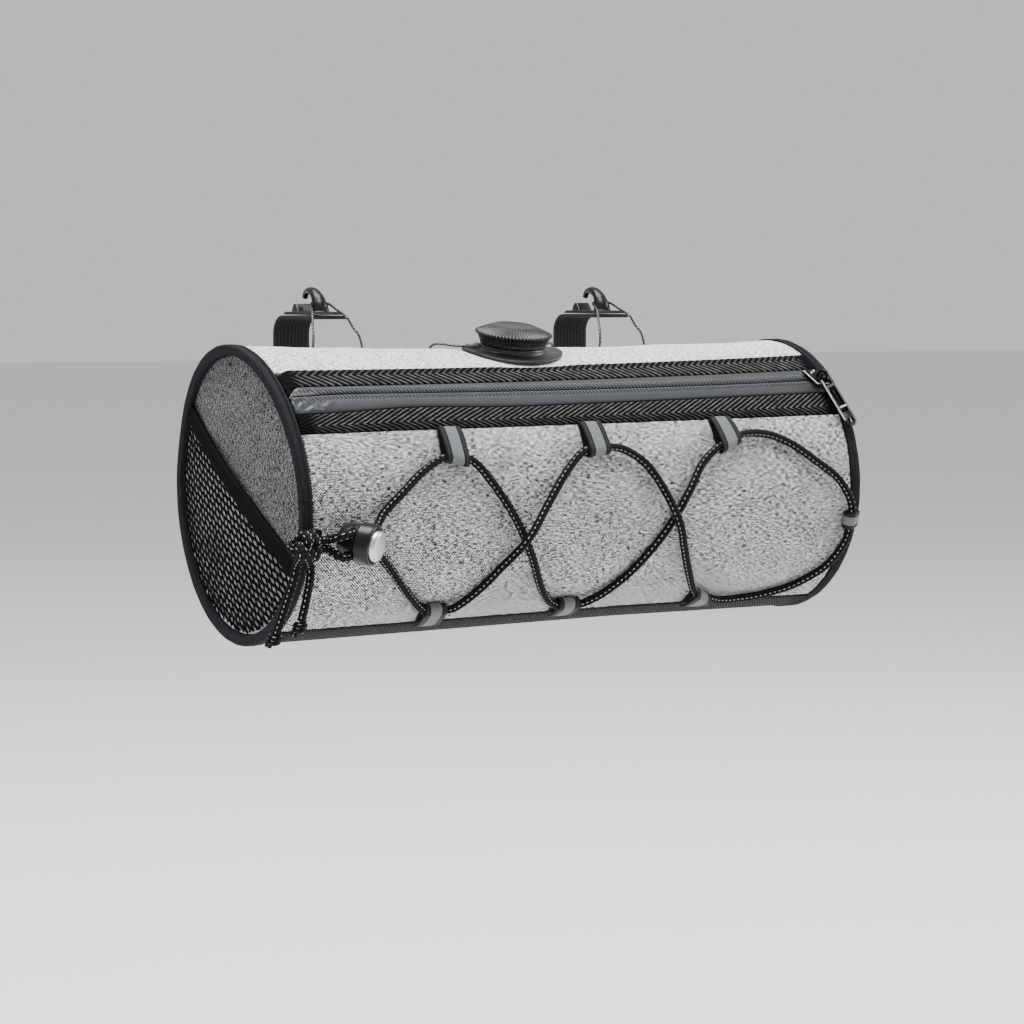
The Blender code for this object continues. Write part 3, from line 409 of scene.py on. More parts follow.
# %% From points to a piece
def new_object(name, points, faces):
    """A mesh object whose faces point outwards."""
    mesh = bpy.data.meshes.new(name)
    mesh.from_pydata(np.asarray(points).reshape(-1, 3).tolist(), [], [list(map(int, f)) for f in faces])
    bm = bmesh.new()
    bm.from_mesh(mesh)
    bmesh.ops.recalc_face_normals(bm, faces=bm.faces)
    bm.to_mesh(mesh)
    bm.free()
    made = bpy.data.objects.new(name, mesh)
    bpy.context.scene.collection.objects.link(made)
    return made


def add_piece(name, points, faces, slot, finish, weave=None, nodes=(), body="bag", sharp=50.0):
    """One mesh as one piece that rides on a body and may stand for CAD nodes."""
    made = new_object(name, points, faces)
    mesh = made.data
    if weave is not None:
        layer = mesh.attributes.new("weave", "FLOAT_VECTOR", "POINT")
        layer.data.foreach_set("vector", np.asarray(weave, float).reshape(-1).tolist())
    mesh.shade_smooth()
    mesh.set_sharp_from_angle(angle=math.radians(sharp))
    mesh.materials.append(finish.material)
    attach(made, body)
    if nodes:
        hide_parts(*nodes)
    return made


# %% [markdown]
# Cloth could be a single sheet with a Solidify modifier. Here both faces are worked out instead, so that the outer
# one can carry the relief while the inner one stays plain, and the wall ends exactly at the seams.

# %% Closed walls
def rim_faces(rows, columns, offset):
    """Faces that join the rims of two equal grids, the second numbered from offset."""
    rim = [(i, 0) for i in range(rows)] + [(rows - 1, j) for j in range(1, columns)]
    rim += [(i, columns - 1) for i in range(rows - 2, -1, -1)] + [(0, j) for j in range(columns - 2, 0, -1)]
    at = [i * columns + j for i, j in rim]
    return [(a, b, b + offset, a + offset) for a, b in zip(at, at[1:] + at[:1])]


def closed_wall(name, outer, inner, weave, slot, finish, **more):
    rows, columns = outer.shape[:2]
    count = rows * columns
    faces = [*quads(rows, columns), *quads(rows, columns, count), *rim_faces(rows, columns, count)]
    points = np.concatenate([outer.reshape(-1, 3), inner.reshape(-1, 3)])
    marks = np.concatenate([weave.reshape(-1, 3)] * 2)
    return add_piece(name, points, faces, slot, finish, marks, **more)


def bag_wall(name, low, high, top, thick, counts, slot, finish, relief=None, mark=None, **more):
    """A wall round part of the barrel between two edges, each an angle that may change with x."""
    x = eased(-WALL_END, WALL_END, counts[0])[:, None]
    girth = math.radians(float(np.mean(high(0.0) - low(0.0)))) * BAG_RADIUS
    span = eased(0.0, girth, counts[1])[None, :]
    angle = low(x) + (high(x) - low(x)) * span / girth
    run, across = np.broadcast_arrays(x + WALL_END, span)
    edge = np.minimum(WALL_END - np.abs(x), np.minimum(span, girth - span))
    drop = edge_drop(edge)
    lift = relief(x + 0 * span, angle, span + 0 * x, edge) if relief else 0.0
    outer = on_bag(x, angle, top + lift - drop)
    inner = on_bag(x, angle, top - thick + drop)
    weave = np.stack([run, across, mark(x, angle) if mark else edge], -1)
    return closed_wall(name, outer, inner, weave, slot, finish, **more)


# %% [markdown]
# The elastic cord crosses the front in long diagonals. Its route is a list of places on the bag: x in metres, the
# angle, and the height of its middle above the cloth. It is set here, before the cloth, because the stuffed front
# swells a little between the cord's runs and stays low beneath them.

# %% The cord's route
CORD_DIAMETER = 0.0032
LOCK_X = -0.1065
LOCK_ANGLE = -13.5
LOCK_HEIGHT = 0.0098
LOCK_TURN = 38.0
LOCK_HOLE_TURN = 26.0
LOCK_HOLE_OFFSET = 0.0042
LOCK_RADIUS = 0.0078
KNOT_X = -0.1285
KNOT_ANGLE = -14.2
KNOT_HEIGHT = 0.0092
KNOT_RADIUS = 0.0070
CORD_FROM_LOCK = (
    (-0.0925, -5.2, 0.0021), (-0.0850, 1.6, 0.0021), (-0.0760, 9.2, 0.0021), (-0.0675, 13.8, 0.0031),
    (-0.0612, 14.0, 0.0033), (-0.0545, 12.2, 0.0031), (-0.0470, 4.5, 0.0021), (-0.0390, -6.0, 0.0021),
    (-0.0318, -16.6, 0.0020), (-0.0255, -27.0, 0.0020), (-0.0190, -38.5, 0.0021), (-0.0115, -48.0, 0.0026),
    (-0.0045, -51.0, 0.0033), (0.0040, -50.8, 0.0033), (0.0130, -45.8, 0.0023), (0.0215, -34.5, 0.0020),
    (0.0290, -22.5, 0.0020), (0.0352, -12.4, 0.0020), (0.0415, -1.5, 0.0020), (0.0475, 8.5, 0.0022),
    (0.0545, 14.2, 0.0028), (0.0620, 17.4, 0.0028), (0.0690, 20.0, 0.0028), (0.0800, 19.8, 0.0021),
    (0.0905, 15.8, 0.0021), (0.1010, 9.0, 0.0021), (0.1118, 1.2, 0.0027), (0.1182, -8.0, 0.0032),
    (0.1195, -16.0, 0.0034), (0.1192, -25.0, 0.0032), (0.1148, -37.2, 0.0026), (0.1050, -47.6, 0.0023),
    (0.0935, -53.8, 0.0022), (0.0820, -56.2, 0.0023), (0.0710, -55.4, 0.0028), (0.0620, -51.6, 0.0028),
    (0.0550, -46.8, 0.0028), (0.0480, -36.0, 0.0022), (0.0415, -24.0, 0.0030), (0.0352, -12.4, 0.0055),
    (0.0290, -0.8, 0.0030), (0.0215, 9.5, 0.0022), (0.0110, 15.6, 0.0028), (0.0020, 15.8, 0.0028),
    (-0.0065, 14.6, 0.0028), (-0.0150, 6.5, 0.0022), (-0.0235, -5.0, 0.0030), (-0.0318, -16.6, 0.0055),
    (-0.0395, -28.8, 0.0030), (-0.0455, -39.5, 0.0022), (-0.0530, -48.0, 0.0028), (-0.0595, -48.5, 0.0028),
    (-0.0665, -48.0, 0.0028), (-0.0740, -41.5, 0.0021), (-0.0820, -32.8, 0.0021), (-0.0895, -24.6, 0.0023),
)


# %% [markdown]
# A route is turned into a Catmull-Rom curve, which passes through every chosen point, and is cut into even steps.
# Two small helpers give the ways out of the barrel and down the cloth at an angle.

# %% Smooth lines through a few points
def smooth_line(route, spacing):
    """Evenly spaced points of a smooth curve through a route."""
    route = np.asarray(route, float)
    ends = np.concatenate([route[:1], route, route[-1:]])
    dense = []
    for a, b, c, d in zip(ends, ends[1:], ends[2:], ends[3:]):
        for t in np.arange(24) / 24:
            dense.append(0.5 * (2 * b + (c - a) * t + (2 * a - 5 * b + 4 * c - d) * t ** 2
                                + (3 * b - a - 3 * c + d) * t ** 3))
    dense = np.array(dense + [route[-1]])
    length = np.concatenate([[0.0], np.cumsum(np.linalg.norm(np.diff(dense, axis=0), axis=1))])
    count = max(3, round(length[-1] / spacing))
    want = np.linspace(0.0, length[-1], count + 1)
    return np.stack([np.interp(want, length, dense[:, k]) for k in range(3)], -1)


def length_of(path):
    return float(np.linalg.norm(np.diff(path, axis=0), axis=1).sum())


def outward(angle):
    """The way straight out of the barrel."""
    turn = math.radians(angle)
    return np.array([0.0, -math.cos(turn), math.sin(turn)])


def downhill(angle):
    """The way along the cloth towards the bottom of the front."""
    turn = math.radians(angle)
    return np.array([0.0, -math.sin(turn), -math.cos(turn)])


LACED = np.array([on_bag(x, a, h) for x, a, h in CORD_FROM_LOCK])
print("the laced run is", round(length_of(smooth_line(LACED, MILLIMETRE)), 3), "m")

# %% [markdown]
# The front panel is one piece of cloth over foam. It swells by under a millimetre between the cords, is held down
# along its seams, and gathers in small puckers where it turns into the bindings. The relief is worked out for every
# point from its distance to the cord.

# %% Edges of the front panel and the zip
ZIP_ANGLE = 42.3
ZIP_TWIST = 5.4
WEBBING_UPPER = 0.0083
ZIP_SIDE = 0.0061
WEBBING_LOWER = 0.0096
TRIM_START = -62.0
TRIM_WIDTH = 0.014
BACK_START = 150.0
CLOTH = 0.0022
STRIP_LIFT = 0.0017


def level(angle):
    return lambda x: angle + 0.0 * x


def zip_line(offset):
    """An edge along the zip whose height above the middle of the strip changes with x."""
    return lambda x: ZIP_ANGLE + ZIP_TWIST * x / BAG_LENGTH + wide(offset(x))


def strip_lift(x):
    """How much higher the zip's lower tape ends, mostly at the left."""
    return STRIP_LIFT * np.clip(0.45 - 1.6 * x / BAG_LENGTH, -0.25, 1.0)


def zip_offsets():
    """The zip's edges from the top panel down, from the middle of the whole strip."""
    edges = [(WEBBING_UPPER + 2 * ZIP_SIDE + WEBBING_LOWER) / 2]
    for width in (WEBBING_UPPER, ZIP_SIDE, ZIP_SIDE, WEBBING_LOWER):
        edges.append(edges[-1] - width)
    return edges


ZIP_EDGES = zip_offsets()


# %% [markdown]
# A height is worked out for every point of the cloth. Noise gives slow ripples, waves near both ends give the
# gathers, and the distance to the nearest point of the cord gives the swell.

# %% Relief of the front cloth
SWELL = 0.0008
SWELL_REACH = 0.0050
PUCKER_PITCH = 0.0075
PUCKER_DEPTH = 0.00035
PUCKER_REACH = 0.0065
FRONT_RIPPLE = 0.00022


def noise_at(points, size, seed=0.0):
    """Smooth noise between about -1 and 1 at each point, with features of a size in metres."""
    flat = np.asarray(points).reshape(-1, 3)
    found = [noise.noise(Vector(p) / size + Vector((seed, 0.0, 0.0))) for p in flat]
    return np.array(found).reshape(np.shape(points)[:-1])


def puckers(x, angle, edge):
    """Small gathers where the cloth is sewn into a binding."""
    near = np.exp(-(WALL_END - np.abs(x)) / PUCKER_REACH)
    wobble = 1.4 * np.sin(np.radians(angle) * 5.0 + 2.0 * np.sign(x))
    wave = np.sin(np.radians(angle) * BAG_RADIUS * 2 * np.pi / PUCKER_PITCH + wobble)
    return PUCKER_DEPTH * near * wave * (1.0 - np.exp(-(edge / 0.002) ** 2))


CORD_DOTS = smooth_line(LACED, 0.0015)


def distance_to(points, dots):
    """Distance from each point of a grid to the nearest of some dots."""
    flat = points.reshape(-1, 3)
    near = np.full(len(flat), 1.0)
    for dot in dots:
        near = np.minimum(near, np.linalg.norm(flat - dot, axis=1))
    return near.reshape(points.shape[:-1])


def front_relief(x, angle, span, edge):
    points = on_bag(x, angle)
    near = np.maximum(distance_to(points, CORD_DOTS) - CORD_DIAMETER / 2, 0.0)
    swell = SWELL * (1.0 - np.exp(-(near / SWELL_REACH) ** 2)) * (1.0 - np.exp(-(edge / 0.010) ** 2))
    ripple = FRONT_RIPPLE * noise_at(points, 0.022) * (1.0 - np.exp(-(edge / 0.006) ** 2))
    return swell + ripple * np.minimum(near / SWELL_REACH, 1.0) + puckers(x, angle, edge)


def front_top(x):
    return ZIP_EDGES[4] + strip_lift(x) - GAP / 2


bag_wall("front_cloth", level(TRIM_START + wide(GAP / 2)), zip_line(front_top), 0.0, CLOTH, (150, 56), "heather",
         FRONT_CLOTH, front_relief, nodes=["front_panel"])
print("front cloth done")

# %% [markdown]
# The top panel carries the dial and is pulled down by the laces, so it dips along the crest. The back panel is plain
# black cloth, and a dark woven strip closes the front panel along the bottom.

# %% Top, back and bottom
HOOK_SPACING = 0.132
LACE_ENDS = (-0.0132, 0.0112)
LACE_ENTERS = 123.0
TAPE_RISE = 0.0026
TOP_RIPPLE = 0.0003
BACK_RIPPLE = 0.0004
LACE_PULL = 0.0006
LACE_PULL_REACH = 0.004
PLAIN_PITCH = 0.0009


def black_cloth(name, tone):
    finish = Finish(name, 0.88, Specular_IOR_Level=0.2)
    run, span, _ = finish.weave()
    ribs = (run * (2 * math.pi / PLAIN_PITCH)).sin() * (span * (2 * math.pi / PLAIN_PITCH)).sin()
    grain = finish.noise(finish.point(run / 0.0007, span / 0.0007), 1.0, 3.0)
    height = ribs * 0.25 + grain
    finish.feed(Base_Color=finish.ramp(height, ((0.3, grey(tone * 0.5)), (0.75, grey(tone * 2.2)))))
    finish.bump(height, 0.0002)
    return finish


BACK_CLOTH = black_cloth("back cloth", 0.012)


def top_relief(x, angle, span, edge):
    points = on_bag(x, angle)
    held = 1.0 - np.exp(-(edge / 0.006) ** 2)
    ripple = TOP_RIPPLE * noise_at(points * np.array([1.0, 0.6, 0.6]), 0.020, 5.0) * held
    pull = 0.0
    for side in (-1.0, 1.0):
        for spread in LACE_ENDS:
            hole = on_bag(side * HOOK_SPACING / 2 + spread, LACE_ENTERS)
            away = np.linalg.norm(points - hole, axis=-1) / LACE_PULL_REACH
            pull = pull - LACE_PULL * np.exp(-away ** 2)
    near_dial = np.hypot(x - DIAL_X, BAG_RADIUS * np.radians(angle - DIAL_ANGLE))
    clear = 1.0 - np.exp(-(near_dial / 0.024) ** 4)
    return ripple * clear + pull + puckers(x, angle, edge)


def back_relief(x, angle, span, edge):
    points = on_bag(x, angle)
    held = 1.0 - np.exp(-(edge / 0.008) ** 2)
    return (BACK_RIPPLE * noise_at(points, 0.03, 9.0) - BACK_RIPPLE) * held + puckers(x, angle, edge)


def top_low(x):
    """The top panel's lower edge, a little under the raised tape."""
    return ZIP_EDGES[0] + TAPE_RISE * (0.55 + 0.2 * x / WALL_END)


bag_wall("top_cloth", zip_line(top_low), level(BACK_START - wide(GAP / 2)), 0.0, CLOTH, (150, 58), "heather",
         TOP_CLOTH, top_relief, nodes=["top_panel"])
trim_end = TRIM_START - wide(TRIM_WIDTH)
bag_wall("back_cloth", level(BACK_START + wide(GAP / 2)), level(360.0 + trim_end - wide(GAP / 2)), 0.0, CLOTH,
         (90, 60), "black_cloth", BACK_CLOTH, back_relief, nodes=["back_panel"])
print("top and back cloth done")

# %% [markdown]
# Two herringbone tapes frame the zip, and a narrow dark one closes the front panel along the bottom. Their ribs slant
# one way below a fold line and the other way above it. One formula gives the rib that a place is on, and it is used
# twice: on arrays, where it raises the ribs in the mesh, and on wires, where it paints shade into the grooves between
# them.

# %% Ribs
RIB_PITCH = 0.0030
RIB_HEIGHT = 0.00026
TAPE_PROUD = 0.0004
TAPE_END_DARK_AND_SHADE = 0.0080
UPPER_FOLD, UPPER_SLANT = 0.0060, 1.1
LOWER_FOLD, LOWER_SLANT = 0.0030, 2.0
TRIM_FOLD, TRIM_SLANT = 0.030, 0.7


def rib_phase(run, span, fold, slant, pitch=RIB_PITCH):
    """Which rib a place is on, a whole number at each groove."""
    return (run - abs(span - fold) * slant) / pitch


def ribbed(name, fold, slant, tones, pitch=RIB_PITCH, quiet=0.0):
    """Herringbone tape in three tones. A quiet of 1 or -1 dims the ribs above or below the fold."""
    finish = Finish(name, 0.8, Specular_IOR_Level=0.06)
    run, span, edge = finish.weave()
    wave = (rib_phase(run, span, fold, slant, pitch) * (2 * math.pi)).sin() * 0.5 + 0.5
    yarn = finish.noise(finish.point(run / 0.0006, span / 0.0006), 1.0, 2.0)
    broad = finish.noise(finish.point(run / 0.004, span / 0.004, 2.0), 1.0, 2.0)
    # Near both ends the tone runs to its darkest: the tapes' own dark ends, and painted shade beside the bindings and
    # under the pull.
    inside = finish.smooth(WALL_END - abs(run - WALL_END), 0.0012, TAPE_END_DARK_AND_SHADE)
    height = wave * (yarn * 0.9 + 0.25) * (broad * 0.9 + 0.55)
    if quiet:
        height = height * (1.0 - finish.smooth((span - fold) * quiet, 0.0, 0.0008) * 0.22)
    # The ramp turns the grooves between the ribs near black: painted shade in the grooves.
    finish.feed(Base_Color=finish.ramp(height * inside, tuple(zip((0.24, 0.52, 0.85), tones))))
    finish.bump(wave * 0.7 + yarn * 0.3, 0.0003)
    return finish


def rib_relief(fold, slant, pitch=RIB_PITCH, height=RIB_HEIGHT):
    def relief(x, angle, span, edge):
        wave = 0.5 + 0.5 * np.sin(2 * np.pi * rib_phase(x + WALL_END, span, fold, slant, pitch))
        return height * wave * (1.0 - np.exp(-(edge / 0.0007) ** 2))
    return relief


# %% [markdown]
# The strip isn't even: its tapes turn under the binding at the left, the upper one stands a little over the top
# cloth, and the ribs' ends show as small teeth along both outer edges. Each edge is a short function of x.

# %% The tapes' edges
TOOTH = 0.00025
CORNER_START = -0.1152
CORNER_REACH = 0.0056
TAPE_CORNER = 0.0030
BAND_CORNER = 0.0052
BAND_RISE = 0.0006
BAND_TUCK = 0.0015
TUCK_X = -0.072
TUCK_REACH = 0.026


def cut_back(x, depth):
    """How far an edge stands back where the tapes turn under the left binding."""
    return depth * np.clip((CORNER_START - x) / CORNER_REACH, 0.0, 1.0) ** 1.4


def teeth(x):
    """The ribs' ends show as small teeth along a tape's edge."""
    return TOOTH * np.abs(2.0 * np.mod(x / RIB_PITCH, 1.0) - 1.0)


def tape_top(x):
    return ZIP_EDGES[0] + TAPE_RISE * (1.0 + 0.2 * x / WALL_END) + teeth(x) - cut_back(x, TAPE_CORNER + TAPE_RISE)


def band_top(x):
    return ZIP_EDGES[1] + BAND_RISE - cut_back(x, BAND_CORNER + BAND_RISE)


def band_low(x):
    return ZIP_EDGES[3] + BAND_TUCK * np.exp(-((x - TUCK_X) / TUCK_REACH) ** 2)


def tape_bottom(x):
    return ZIP_EDGES[4] + strip_lift(x) - teeth(x + RIB_PITCH / 3)


TAPE_TONES = (grey(0.0008), grey(0.030), (0.120, 0.120, 0.112))
UPPER_TAPE = ribbed("upper tape", UPPER_FOLD, UPPER_SLANT, TAPE_TONES, quiet=1.0)
LOWER_TAPE = ribbed("lower tape", LOWER_FOLD, LOWER_SLANT, TAPE_TONES, quiet=-1.0)
TRIM_TAPE = ribbed("trim tape", TRIM_FOLD, TRIM_SLANT, (grey(0.010), (0.028, 0.029, 0.032), grey(0.050)), 0.0012)

bag_wall("upper_tape", zip_line(lambda x: band_top(x) + GAP / 2), zip_line(tape_top), TAPE_PROUD, 0.0016,
         (600, 18), "webbing", UPPER_TAPE, rib_relief(UPPER_FOLD, UPPER_SLANT), nodes=["zip_webbing_upper"])
bag_wall("lower_tape", zip_line(tape_bottom), zip_line(lambda x: band_low(x) - GAP / 2), TAPE_PROUD, 0.0016,
         (600, 20), "webbing", LOWER_TAPE, rib_relief(LOWER_FOLD, LOWER_SLANT), nodes=["zip_webbing_lower"])
bag_wall("trim_strip", level(trim_end + wide(GAP / 2)), level(TRIM_START - wide(GAP / 2)), 0.0005, 0.0017,
         (160, 14), "webbing", TRIM_TAPE, rib_relief(TRIM_FOLD, TRIM_SLANT, 0.0012, 0.00005), nodes=["bottom_trim"])
print("tapes done")

# %% [markdown]
# The zip's coil is covered by a satin coating, so it shows only as two rows of slanting ridges on both sides of the
# seam, and the coating below them is smooth. At the left the two halves are sewn together and the coating is
# crumpled. The seam isn't straight: it runs nearer the upper tape at that end, and it gapes a little just beside the
# sewn part, which the material shows as a dark slit of painted shade.

# %% Shape of the coated zip
COIL_PITCH = 0.00155
COIL_LEAN = 0.5
COIL_REACH = 0.0030
COIL_HEIGHT = 0.00020
BAND_CROWN = 0.0009
SEAM_RISE = 0.0008
SEAM_REACH = 0.12
SEAM_BEND = 1.9
SEAM_START = 0.0016
SEAM_START_REACH = 0.014
SEAM_DEPTH = 0.0006
CRUMPLE = 0.0011
CRUMPLE_REACH = 0.012


def seam(x):
    rise = SEAM_RISE * np.maximum(1.0 - x / SEAM_REACH, 0.0) ** SEAM_BEND
    rise = rise - SEAM_START * np.exp(-((x + WALL_END) / SEAM_START_REACH) ** 2)
    return np.minimum(ZIP_EDGES[2] + rise, band_top(x) - 0.0012)


def from_seam(x, angle):
    """Distance along the cloth from the seam, positive above it."""
    return np.radians(angle - zip_line(seam)(x)) * BAG_RADIUS


def coil_wave(run, side):
    return (run + side * COIL_LEAN) / COIL_PITCH


def band_relief(x, angle, span, edge):
    side = from_seam(x, angle)
    middle, half = (band_top(x) + band_low(x)) / 2, (band_top(x) - band_low(x)) / 2
    across = (side + seam(x) - middle) / half
    crown = BAND_CROWN * np.sqrt(np.maximum(1.0 - across ** 2, 0.0))
    window = np.exp(-((np.abs(side) - COIL_REACH * 0.55) / (COIL_REACH * 0.42)) ** 4)
    sewn = np.exp(-((x + WALL_END) / CRUMPLE_REACH) ** 2)
    coil = COIL_HEIGHT * window * (1.0 - sewn) * np.sin(2 * np.pi * coil_wave(x + WALL_END, side))
    groove = SEAM_DEPTH * np.exp(-(side / 0.00055) ** 2) * (1.0 - sewn)
    folds = noise_at(on_bag(x, angle) * np.array([1.0, 1.6, 1.6]), 0.0034, 3.0)
    return crown + coil - groove + CRUMPLE * sewn * folds * (1.0 - np.exp(-(edge / 0.0015) ** 2))


# %% [markdown]
# The coating is a satin film. Its tone follows the same coil wave as the mesh, as painted light on the ridges and
# painted shade between them. A near-black line of painted shade marks the seam, and noise along the sewn end paints
# light and shade over the crumples.

# %% The zip's coating
SLIT_MIDDLE = 0.0205
SLIT_REACH = 0.0125


def coated():
    finish = Finish("coated zip", 0.42, Specular_IOR_Level=0.35)
    run, span, side = finish.weave()
    wave = (coil_wave(run, side) * (2 * math.pi)).sin()
    row = finish.smooth(abs(abs(side) - COIL_REACH * 0.55), COIL_REACH * 0.5, COIL_REACH * 0.3)
    grain = finish.noise(finish.point(run / 0.0009, side / 0.0009), 1.0, 2.0)
    cloud = finish.noise(finish.point(run / 0.009, side / 0.004, 4.0), 1.0, 2.0)
    # The coil wave in the tone is painted light on the ridges and painted shade between them.
    height = wave * row * 0.42 + grain * 0.22 + cloud * 0.36
    # A near-black line of painted shade marks the seam and widens where it gapes.
    open_part = finish.smooth(abs(run - SLIT_MIDDLE), SLIT_REACH, SLIT_REACH * 0.6)
    seam_shade = finish.smooth(abs(side), 0.0001, open_part * 0.0005 + 0.00035)
    seam_shade_fade = (1.0 - open_part) * (finish.smooth(run, 0.006, 0.002) * 0.4 + 0.45)
    clear_of_seam_shade = seam_shade * (1.0 - seam_shade_fade) + seam_shade_fade
    # Near the sewn end, noise paints light and shade over the crumples.
    crumple_light_and_shade = finish.noise(finish.point(run / 0.0022, side / 0.0030, 9.0), 1.0, 3.0)
    near_end = finish.smooth(run, 0.020, 0.006)
    tone = finish.ramp(height + (crumple_light_and_shade - 0.5) * near_end * 1.3, (
        (0.0, (0.016, 0.018, 0.021)), (0.35, (0.029, 0.032, 0.037)), (0.85, (0.085, 0.091, 0.099))))
    finish.feed(Base_Color=finish.mix(clear_of_seam_shade, solid(grey(0.003)), tone))
    finish.bump(wave * row * 0.6 + grain * 0.15, 0.00025)
    return finish


COATED = coated()
bag_wall("zip_band_upper", zip_line(lambda x: seam(x) + GAP / 4), zip_line(lambda x: band_top(x) - GAP / 2), 0.0002,
         0.0018, (800, 10), "coated_zip", COATED, band_relief, mark=from_seam, nodes=["zip_side_upper"])
bag_wall("zip_band_lower", zip_line(lambda x: band_low(x) + GAP / 2), zip_line(lambda x: seam(x) - GAP / 4), 0.0002,
         0.0018, (800, 14), "coated_zip", COATED, band_relief, mark=from_seam, nodes=["zip_side_lower"])
print("coated zip done")

# %% [markdown]
# Both ends are round panels sewn in with a folded tape, the binding. A binding is a turned ring whose section is a
# soft square with a stitched groove on its end face. The tape's fine twill runs aslant round the ring. The end panels
# are domed and gathered at the rim, and the left one is painted pale where the pocket will cover it: painted light
# that makes the net's holes look bright.

# %% Bindings
RING_SIDES = 300
RING_SQUARE = 0.42
STITCH_GROOVE = 0.0005
STITCH_RADIUS = 0.62
BINDING_DEPTH = 0.0042
TWILL_RIB = 0.00105
RING_SECTION = 36
RING_WOBBLE = (0.00005, 0.00004)


def end_place(side, radius, turn, height):
    """A place on one end of the bag: radius, turn from the front over the top, and height outwards."""
    radius, turn, height = np.broadcast_arrays(radius, turn, height)
    return askew(np.stack([side * (BAG_LENGTH / 2 - BINDING_WIDTH + height),
                           AXIS_Y - radius * np.cos(turn), AXIS_Z + radius * np.sin(turn)], -1))


def full_turn(count):
    return np.arange(count) * 2 * np.pi / count


def power(value, exponent):
    return np.sign(value) * np.abs(value) ** exponent


def binding_finish():
    finish = Finish("binding tape", 0.78, Specular_IOR_Level=0.08)
    run, span, groove = finish.weave()
    rib = ((run + span * 1.3) * (2 * math.pi / TWILL_RIB)).sin() * 0.5 + 0.5
    yarn = finish.noise(finish.point(run / 0.0006, span / 0.0006), 1.0, 2.0)
    height = rib * 0.55 + yarn * 0.5
    tone = finish.ramp(height, ((0.25, (0.002, 0.002, 0.003)), (0.55, (0.010, 0.011, 0.014)),
                                (0.85, (0.034, 0.037, 0.044))))
    finish.feed(Base_Color=finish.mix(groove, tone, solid(grey(0.002))))
    finish.bump(height, 0.0003)
    return finish


def make_binding(side, label, finish):
    outer = BAG_RADIUS + BINDING_PROUD
    middle_radius, half_depth = outer - BINDING_DEPTH / 2, BINDING_DEPTH / 2
    section = full_turn(RING_SECTION)
    radius = middle_radius + half_depth * power(np.cos(section), RING_SQUARE)
    height = BINDING_WIDTH / 2 * (1.0 + power(np.sin(section), RING_SQUARE))
    share = (radius - middle_radius) / half_depth
    groove = np.exp(-((share + 2 * STITCH_RADIUS - 1.0) / 0.16) ** 2) * (np.sin(section) > 0.2)
    height = height - STITCH_GROOVE * groove
    turn = full_turn(RING_SIDES)
    wobble = RING_WOBBLE[0] * np.sin(turn * 23.0) + RING_WOBBLE[1] * np.sin(turn * 41.0 + side)
    points = end_place(side, radius[None, :] + wobble[:, None], turn[:, None], height[None, :])
    along = np.cumsum(np.hypot(np.diff(radius, prepend=radius[-1]), np.diff(height, prepend=height[-1])))
    run, span, mark = np.broadcast_arrays(turn[:, None] * outer, along[None, :], groove[None, :])
    add_piece("binding_ring_" + label, points, quads(RING_SIDES, RING_SECTION, wrap_rows=True, wrap_columns=True),
              "binding", finish, np.stack([run, span, mark], -1), nodes=["binding_" + label])


# %% [markdown]
# An end panel is a disc of cloth that bulges outwards a little. Rings of points from the middle to the rim make
# it, because its gathers run outwards like spokes and a square grid would cut across them.

# %% End panels
END_RADIUS = BAG_RADIUS + BINDING_PROUD - BINDING_DEPTH - GAP
END_THICKNESS = 0.002
END_DOME = 0.0025
END_GATHER = 0.00035
END_RIPPLE = 0.0006
POCKET_SLOPE = 31.6


def dome(radius):
    return END_THICKNESS + END_DOME * (1.0 - np.minimum(radius / END_RADIUS, 1.0) ** 2)


def make_end(side, label, finish):
    """A round cloth panel, domed outwards, gathered a little where it meets the binding."""
    radius = np.concatenate([[0.0004], np.linspace(0.0015, END_RADIUS, 52)])[:, None]
    turn = full_turn(200)[None, :]
    edge = END_RADIUS - radius
    flat = end_place(side, radius, turn, 0.0)
    soft = 1.0 - np.exp(-(edge / 0.008) ** 2)
    gather = END_GATHER * np.exp(-edge / 0.006) * np.sin(turn * 38.0 + 1.5 * np.sin(turn * 5.0))
    gather = gather * (1.0 - np.exp(-(edge / 0.0015) ** 2))
    outer = dome(radius) + gather + END_RIPPLE * soft * noise_at(flat, 0.019, 11.0 * side)
    front = end_place(side, radius, turn, outer)
    back = end_place(side, radius, turn, dome(radius) - END_THICKNESS)
    rows, columns = front.shape[:2]
    count = rows * columns
    rims = [((rows - 1) * columns + j, (rows - 1) * columns + (j + 1) % columns) for j in range(columns)]
    faces = [*quads(rows, columns, wrap_columns=True), *quads(rows, columns, count, wrap_columns=True)]
    faces += [(a, b, b + count, a + count) for a, b in rims]
    faces += [list(range(columns)), list(range(count, count + columns))]
    slope = math.radians(POCKET_SLOPE)
    below = (front[..., 1] - AXIS_Y) * math.sin(slope) - (front[..., 2] - AXIS_Z) * math.cos(slope)
    weave = np.stack([front[..., 2], front[..., 1], below], -1)
    add_piece("end_cloth_" + label, np.concatenate([front.reshape(-1, 3), back.reshape(-1, 3)]), faces,
              "heather", finish, np.concatenate([weave.reshape(-1, 3)] * 2), nodes=["end_panel_" + label])


# The left end's cloth carries painted light: it is pale where the net covers it.
LEFT_CLOTH = heather("left end cloth", grey(0.004), grey(0.050), grey(0.28), painted_light_under_net=True)
BINDING_TAPE = binding_finish()
for side, label in ((-1.0, "left"), (1.0, "right")):
    make_binding(side, label, BINDING_TAPE)
    make_end(side, label, LEFT_CLOTH if side < 0 else END_CLOTH)
print("ends done")

